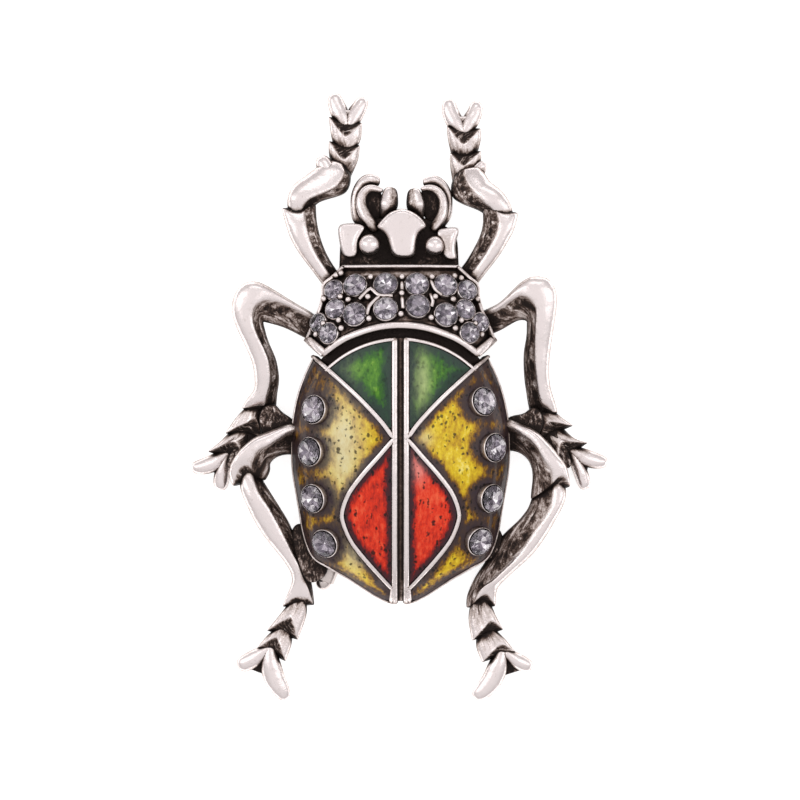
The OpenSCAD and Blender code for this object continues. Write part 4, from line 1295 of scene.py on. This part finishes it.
def make_foot(name):
    bm = bmesh.new()
    dark = DARK_HUMPS.get(name, 0)
    for root, middle, tip, notch, top in JOINTS[name]:
        # the root reaches back under the joint before it, where it is rough and black, and the
        # humps towards the tip are bright
        behind = [1.5 * a - 0.5 * b for a, b in zip(root, middle)]
        reached = [1.2 * a - 0.2 * b for a, b in zip(tip, middle)]
        rows = [(*behind, dark, top - 0.5, 1.3), (*root, dark, top - 0.4, 1.25),
                (*middle, dark, top - 0.06, 0.45), (*reached, dark, top, 0.05)]
        shaft(bm, rows, lobes, JOINT_DEPTH, notch, spacing=SHORT_STEP, chevron=0.7)
    left, right = CLAWS[name]
    reach, height, rough = PALMS[name.split("_")[0]]
    palm = [(*Vector(left[0][:2]).lerp(Vector(left[1][:2]), share),
             *Vector(right[0][:2]).lerp(Vector(right[1][:2]), share), 0, top, rough)
            for share, top in ((0.25, 1.2), (reach, height))]
    shaft(bm, palm, lobes, PALM_DEPTH, spacing=SHORT_STEP)
    for rows in (left, right):
        rod(bm, rows)
    finish_silver("foot_" + name, bm, sharp=70, levels=2)


for leg_name in JOINTS:
    make_foot(leg_name)

# %% [markdown]
# ## Webs
# A caster ties thin parts together where they run close, so that the metal fills the mould and the
# legs don't break off. These webs lie low, so the wheel misses them and they stay rough and dark. A
# web is an outline in plan that is raised to a plate, with its top inset and domed a little.

# %% Outlines of the webs between the legs and the body
# height, then x, y round the web
WEBS = [
    (3.9, [(-11.4, -13.4), (-10.2, -12.5), (-8.8, -13.4), (-7.4, -16.2), (-7.2, -18.0),
           (-8.6, -18.9), (-9.6, -18.9), (-10.6, -16.6)]),
    (3.6, [(10.9, -14.4), (9.0, -17.1), (7.9, -16.0), (9.6, -12.5)]),
    (3.9, [(-14.4, -1.0), (-12.6, -0.4), (-12.2, -1.6), (-10.3, -2.3), (-10.3, -4.8),
           (-13.5, -4.2), (-14.4, -3.2)]),
    (3.9, [(14.4, -1.2), (13.2, -0.8), (12.6, -1.9), (10.4, -1.7), (10.3, -4.6), (13.6, -4.2),
           (14.6, -3.2)]),
    (2.2, [(-14.5, -0.9), (-13.2, -1.8), (-13.6, -4.0), (-15.4, -5.2), (-16.5, -6.4),
           (-17.3, -7.6), (-17.9, -6.8), (-16.7, -4.4), (-15.3, -2.2)]),
    (2.2, [(14.6, -0.9), (13.4, -1.9), (13.6, -4.0), (15.1, -5.2), (16.1, -6.4), (17.0, -7.6),
           (17.6, -6.8), (16.6, -4.4), (15.4, -2.3)]),
]


# %% A plate with a domed top


def plate(bm, outline, low, high, steps, rough=0.0):
    """An outline raised from low to high, then inset in steps of a width and a rise each."""
    flank, along, across = mark_layers(bm)
    start = len(bm.verts)
    made = bmesh.ops.create_circle(bm, segments=len(outline), radius=1, cap_ends=True)["verts"]
    for vert, (x, y) in zip(made, outline):
        vert.co = (x, y, low)
    base = made[0].link_faces[0]
    top = bmesh.ops.extrude_face_region(bm, geom=[base], use_keep_orig=True)["geom"]
    bmesh.ops.translate(bm, verts=verts_of(top), vec=(0, 0, high - low))
    face = [g for g in top if isinstance(g, bmesh.types.BMFace)][0]
    face.normal_update()
    if face.normal.z < 0:
        face.normal_flip()
    for width, rise in steps:
        bmesh.ops.inset_region(bm, faces=[face], thickness=width, use_even_offset=True)
        bmesh.ops.translate(bm, verts=face.verts[:], vec=(0, 0, rise))
    bm.verts.ensure_lookup_table()
    for vert in bm.verts[start:]:
        vert[flank], vert[along], vert[across] = rough, vert.co.y, vert.co.x


WEB_ROUGH = 0.85


def make_webs():
    bm = bmesh.new()
    for high, outline in WEBS:
        plate(bm, outline, 0.7 * high, high, [(0.2, 0.15)], WEB_ROUGH)
    finish_silver("webs", bm, sharp=60, levels=2)


make_webs()

# %% [markdown]
# ## Head
# The head is a low dark plate with everything bright set on it: the domed lip plate in the middle,
# a round eye and an angular cheek on each side, two nested pairs of hooked jaws in front, and two
# short feelers between them.

# %% Outlines of the plates of the head
LIP = [
    (0.05, 19.1), (-0.6, 18.95), (-1.2, 18.65), (-1.75, 18.2), (-2.5, 17.3), (-2.3, 16.95),
    (-1.5, 16.6), (-1.15, 15.2), (-0.85, 14.1), (0.4, 13.95), (1.5, 14.0), (1.65, 15.6),
    (1.8, 16.6), (2.4, 16.95), (2.8, 17.3), (2.2, 18.1), (1.6, 18.6), (0.8, 19.0),
]
CHEEK_LEFT = [
    (-6.45, 17.2), (-6.0, 17.6), (-4.4, 17.65), (-3.4, 17.3), (-3.8, 16.6), (-4.25, 15.8),
    (-4.25, 14.9), (-4.5, 13.95), (-5.8, 14.1), (-6.15, 15.3),
]
CHEEK_RIGHT = [
    (3.5, 17.0), (4.7, 17.15), (5.9, 17.3), (5.95, 16.6), (5.6, 15.8), (5.5, 14.7), (5.9, 13.8),
    (4.5, 13.75), (4.1, 14.9), (3.8, 15.8),
]
HEAD_BASE = [
    (-6.3, 12.3), (-6.25, 13.0), (-6.2, 15.2), (-6.0, 17.2), (-3.3, 17.8), (-1.4, 18.6),
    (1.6, 18.6), (3.6, 17.7), (5.7, 17.0), (5.9, 15.2), (5.95, 13.0), (6.0, 12.3), (5.0, 12.2),
    (-5.3, 12.2),
]
# dark metal behind the jaws
JAW_WEBS = [
    [(-4.6, 20.6), (-4.0, 21.5), (-2.7, 21.8), (-1.9, 21.1), (-1.5, 18.6), (-2.6, 17.2),
     (-4.4, 18.2)],
    [(1.9, 21.1), (2.8, 21.7), (4.1, 21.4), (4.7, 20.6), (4.7, 18.4), (3.4, 17.1), (2.0, 18.4)],
]

# %% Places of the jaws, feelers and eyes
# x, y, height and radius from root to tip, the outer and then the inner jaw of each side
JAWS = [
    [(-3.3, 17.2, 3.8, 0.45), (-4.2, 18.0, 3.8, 0.5), (-4.5, 19.2, 3.7, 0.46),
     (-4.45, 20.4, 3.6, 0.46), (-4.0, 21.4, 3.5, 0.5), (-3.3, 21.95, 3.5, 0.56),
     (-2.6, 21.9, 3.5, 0.5)],
    [(-2.7, 17.2, 4.6, 0.45), (-3.55, 18.3, 4.7, 0.44), (-4.0, 19.5, 4.6, 0.4),
     (-3.9, 20.4, 4.5, 0.36), (-3.4, 21.05, 4.4, 0.32), (-2.7, 21.15, 4.3, 0.27),
     (-2.0, 20.95, 4.2, 0.2)],
    [(3.9, 17.4, 3.8, 0.45), (4.6, 18.4, 3.8, 0.44), (4.75, 19.5, 3.7, 0.42),
     (4.7, 20.5, 3.6, 0.42), (4.2, 21.4, 3.5, 0.46), (3.4, 21.9, 3.5, 0.5), (2.7, 21.8, 3.5, 0.4)],
    [(3.5, 17.2, 4.6, 0.42), (4.15, 18.3, 4.7, 0.38), (4.35, 19.4, 4.6, 0.34),
     (4.15, 20.4, 4.5, 0.32), (3.6, 21.0, 4.4, 0.29), (2.9, 21.2, 4.3, 0.25),
     (2.25, 21.1, 4.2, 0.18)],
]
FEELERS = [
    [(-1.5, 18.2, 4.0, 0.65), (-1.2, 19.4, 4.5, 1.0), (-1.05, 20.6, 4.3, 0.85)],
    [(1.8, 18.2, 4.0, 0.65), (1.55, 19.4, 4.5, 1.02), (1.4, 20.5, 4.3, 0.82)],
]
EYES = [(-3.15, 15.4, 1.08), (3.45, 15.3, 1.0)]  # x, y, radius
EYE_Z = 5.5
# for the outer and the inner jaws: roughness of the inner side, and width in radii
JAW_KINDS = [(0.8, 1.34), (0.5, 1.46)]
JAW_HEIGHT = 1.1  # in radii
FEELER_HEIGHT = 0.62

# %% The head, its jaws and its eyes
BED_ROUGH = 0.6


def make_head():
    bm = bmesh.new()
    plate(bm, HEAD_BASE, BACK_Z + 0.1, 4.1, [(0.3, 0.1)], BED_ROUGH)
    for outline in JAW_WEBS:
        plate(bm, outline, 3.0, 3.6, [(0.2, 0.05)], BED_ROUGH)
    plate(bm, LIP, 4.0, 5.5, [(0.1, 0.2), (0.18, 0.18), (0.2, 0.12)])
    for outline in (CHEEK_LEFT, CHEEK_RIGHT):
        plate(bm, outline, 3.2, 5.3, [(0.1, 0.15), (0.25, 0.12), (0.3, -0.1)])
    finish_silver("head", bm, sharp=50, levels=2)


def inner_marks(rough, side):
    """Marks round a rod whose face towards the middle stays rough and dark."""
    turns = [2 * math.pi * k / ROD_SIDES for k in range(ROD_SIDES)]
    return [rough * max(0.0, side * math.cos(turn)) ** 0.5 for turn in turns]


def make_jaws():
    bm = bmesh.new()
    for number, rows in enumerate(JAWS):
        rough, wide = JAW_KINDS[number % 2]
        rod(bm, [(x, y, z, wide * r, JAW_HEIGHT * r) for x, y, z, r in rows], spacing=0.35,
            marks=inner_marks(rough, 1 if number < 2 else -1))
    for side, rows in zip((1, -1), FEELERS):
        rod(bm, [(x, y, z, r, FEELER_HEIGHT * r) for x, y, z, r in rows], spacing=0.35,
            marks=inner_marks(JAW_KINDS[0][0], side))
    finish_silver("jaws", bm, sharp=70, levels=1)


def make_eyes():
    bm = bmesh.new()
    for x, y, r in EYES:
        eye = bmesh.ops.create_uvsphere(bm, u_segments=32, v_segments=20, radius=r)["verts"]
        bmesh.ops.scale(bm, verts=eye, vec=(1, 1, 0.8))
        bmesh.ops.translate(bm, verts=eye, vec=(x, y, EYE_Z))
    finish_silver("eyes", bm)


make_head()
make_jaws()
make_eyes()

# %% [markdown]
# ## The pin on the back
# Hinge block, wire and catch are one plain piece here, as in the construction. The wire runs
# slantwise under the hollow back, and its point rests in an open catch.

# %% Pin
HINGE = (3.0, 6.9)
PIN_POINT = (-7.7, -18.5)
WIRE_Z, WIRE_R = 1.55, 0.45
BLOCK = (2.4, 2.6, 1.72)  # size of the hinge block
BLOCK_Z = 1.71  # height of its middle
BEAD_R = 0.8  # of the tab that shows beside the body
CATCH_R = 0.84  # radius of the bend of the catch
CATCH_W, CATCH_T = 2.1, 0.4  # width and thickness of its strip
CATCH_X = 0.85  # how far before the wire's end the middle of the catch lies


def make_pin():
    bm = bmesh.new()
    # it is built along x from the hinge at 0, and turned into its slant at the end
    run = Vector(PIN_POINT) - Vector(HINGE)
    length = run.length
    block = bmesh.ops.create_cube(bm, size=1)["verts"]
    bmesh.ops.scale(bm, verts=block, vec=BLOCK)
    bmesh.ops.translate(bm, verts=block, vec=(0, 0, BLOCK_Z))
    bmesh.ops.bevel(
        bm, geom=list({e for v in block for e in v.link_edges}), offset=0.15, segments=3,
        profile=0.5, affect="EDGES", material=-1,
    )
    steps = [(0.0, WIRE_R), (0.2, WIRE_R), (length - 1.2, WIRE_R), (length - 0.4, 0.3),
             (length, 0.17)]
    angles = [2 * math.pi * i / 20 for i in range(20)]
    loft(bm, [[Vector((x, r * math.cos(a), WIRE_Z + r * math.sin(a))) for a in angles]
              for x, r in steps])
    # the catch: a strip bent round the wire, open on one side, and a bead on its end
    bead = bmesh.ops.create_uvsphere(bm, u_segments=24, v_segments=16, radius=BEAD_R)["verts"]
    bmesh.ops.scale(bm, verts=bead, vec=(1.0, 1.0, 0.9))
    bmesh.ops.translate(bm, verts=bead, vec=(length + 0.35, 0, WIRE_Z + 0.05))
    centre = Vector((length, 0, WIRE_Z + 0.15))
    strip = bmesh.ops.create_grid(bm, x_segments=1, y_segments=1, size=0.5)["verts"]
    for vert in strip:
        x, z = vert.co.x, vert.co.y
        vert.co = (length - CATCH_X + CATCH_W * x, 0, centre.z - CATCH_R + CATCH_T * z)
    faces = list({f for v in strip for f in v.link_faces})
    turned = Matrix.Rotation(math.radians(75), 3, "X")
    bmesh.ops.rotate(bm, verts=strip, cent=centre, matrix=turned)
    bmesh.ops.spin(
        bm, geom=faces + [e for f in faces for e in f.edges] + strip, cent=centre, axis=(1, 0, 0),
        angle=math.radians(300), steps=30, use_duplicate=False,
    )
    # nothing but the hinge block reaches above the rim of the hollow
    for vert in bm.verts:
        if vert.co.x > 3 and vert.co.z > BACK_Z - GAP:
            vert.co.z = BACK_Z - GAP
    slant = Matrix.Rotation(math.atan2(run.y, run.x), 4, "Z")
    bmesh.ops.transform(bm, matrix=Matrix.Translation((*HINGE, 0)) @ slant, verts=bm.verts)
    finish_piece("pin", bm, [pin_steel], ["brooch_pin"])


make_pin()

# %% [markdown]
# ## Where the black stays
# For every point of the metal, rays go out in a spread of directions round its normal. The more of
# them are stopped within 1.7 millimetres, the deeper the place lies, and the more of the black
# layer is left there. Upright sides are made darker too, by their slope alone.
# The result is stored on the mesh as `recess`.

# %% Measure how enclosed each place of the metal is
RAYS = 18  # for each point
REACH = 1.7 * MM
START = 0.03 * MM  # above the surface, so that a ray doesn't hit the face that it starts from
SPREAD = 0.98  # length of the random vector that is added to the normal for each ray
LEVEL_Z = 0.78  # a face whose normal has at least this z counts as level
STEEP_SHARE = 0.34  # how much darker an upright side is made, by its slope alone


def store_recess(metal, solids):
    """Stores on each piece of the metal how much of its surroundings the solids fill, and a share
    for upright sides.
    """
    corners, faces = [], []
    for piece in solids:
        start = len(corners)
        corners += [v.co for v in piece.data.vertices]
        faces += [[start + i for i in p.vertices] for p in piece.data.polygons]
    tree = BVHTree.FromPolygons(corners, faces)
    seed_set(11)
    spread = [random_unit_vector(size=3) for _ in range(RAYS)]
    for piece in metal:
        values = []
        for vert in piece.data.vertices:
            normal = vert.normal
            start = vert.co + normal * START
            stopped = 0.0
            for offset in spread:
                hit = tree.ray_cast(start, (normal + offset * SPREAD).normalized(), REACH)[3]
                if hit is not None:
                    stopped += 1.0 - (hit / REACH) ** 2
            # upright sides are made darker by their slope alone
            steep = max(0.0, min(1.0, (LEVEL_Z - normal.z) / LEVEL_Z))
            values.append(stopped / RAYS + STEEP_SHARE * steep)
        layer = piece.data.attributes.new("recess", "FLOAT", "POINT")
        layer.data.foreach_set("value", values)
        print(piece.name, "mean recess", round(sum(values) / len(values), 2))


SOLID_FINISHES = (silver, green_enamel, yellow_enamel, red_enamel, smoky_glass)
pieces = [o for o in bpy.data.objects if o.type == "MESH" and len(o.data.materials)
          and o.data.materials[0] in SOLID_FINISHES]
store_recess([o for o in pieces if o.data.materials[0] == silver], pieces)

# %% [markdown]
# ## Ground, light and camera
# The brooch lies on a bright white ground and is photographed from straight above in a light tent:
# the tent is bright overhead and dimmer near the table, so level metal shines while the sides turn
# grey. The ground glows a little, as a lit white table does, so that only a faint shadow is left.
# Three softboxes add the brighter streaks.

# %% Ground
GLOW = 0.74
HALF_FLOOR = 0.6  # in metres


def make_floor():
    material, tree = new_material("white_ground")
    matte = add_node(tree, "ShaderNodeBsdfDiffuse", {"Color": linear("#ffffff")})
    glow = add_node(tree, "ShaderNodeEmission", {"Color": linear("#ffffff"), "Strength": GLOW})
    both = add_node(tree, "ShaderNodeAddShader", {0: matte, 1: glow})
    add_node(tree, "ShaderNodeOutputMaterial", {"Surface": both})
    bm = bmesh.new()
    bmesh.ops.create_grid(bm, x_segments=1, y_segments=1, size=HALF_FLOOR)
    mesh = bpy.data.meshes.new("floor")
    bm.to_mesh(mesh)
    bm.free()
    mesh.materials.append(material)
    floor = bpy.data.objects.new("floor", mesh)
    bpy.context.scene.collection.objects.link(floor)
    print("floor of", 2 * HALF_FLOOR, "metres")


make_floor()

# %% Light tent and softboxes


def make_world():
    world = bpy.data.worlds.new("light_tent")
    world.use_nodes = True
    tree = world.node_tree
    tree.nodes.clear()
    # for the world this is the direction that one looks in, and its z is 1 straight up
    ray = add_node(tree, "ShaderNodeTexCoord").outputs["Generated"]
    height = add_node(tree, "ShaderNodeSeparateXYZ", {"Vector": ray}).outputs["Z"]
    tone = add_node(tree, "ShaderNodeValToRGB", {"Fac": height})
    fill_ramp(
        tone, [(0.0, "#c8c4c4"), (0.35, "#d2cece"), (0.62, "#e4e1e1"), (0.85, "#ebe8e8"),
               (1.0, "#f6f2f2")],
    )
    back = add_node(tree, "ShaderNodeBackground", {"Color": tone})
    add_node(tree, "ShaderNodeOutputWorld", {"Surface": back})
    bpy.context.scene.world = world


def make_softbox(name, place, size, watts):
    """A rectangular light that shines on the brooch at the origin."""
    light = bpy.data.lights.new(name, "AREA")
    light.shape = "RECTANGLE"
    light.size, light.size_y = size
    light.energy = watts
    box = bpy.data.objects.new(name, light)
    box.location = place
    box.rotation_euler = (-Vector(place)).to_track_quat("-Z", "Y").to_euler()
    bpy.context.scene.collection.objects.link(box)
    print(name, watts, "watts")


make_world()
make_softbox("softbox_left", (-0.42, 0.12, 0.42), (0.3, 0.6), 0.4)
make_softbox("softbox_right", (0.42, 0.05, 0.42), (0.3, 0.6), 0.33)
make_softbox("softbox_head", (0.05, 0.5, 0.5), (0.4, 0.2), 0.2)

# %% Camera
FIELD = 80.9 * MM  # width of the picture at the height of the wing cases
FIELD_Z = 6 * MM
HEIGHT = 0.8
CENTRE = (-0.05 * MM, -0.3 * MM)


def make_camera():
    data = bpy.data.cameras.new("camera")
    data.sensor_width = 36
    data.lens = 36 * (HEIGHT - FIELD_Z) / FIELD
    data.dof.use_dof = False
    data.clip_end = 10
    camera = bpy.data.objects.new("camera", data)
    camera.location = (*CENTRE, HEIGHT)
    bpy.context.scene.collection.objects.link(camera)
    bpy.context.scene.camera = camera
    print("camera with a lens of", round(data.lens), "mm")


make_camera()
bpy.context.scene.view_settings.view_transform = "Standard"
bpy.context.scene.view_settings.look = "None"
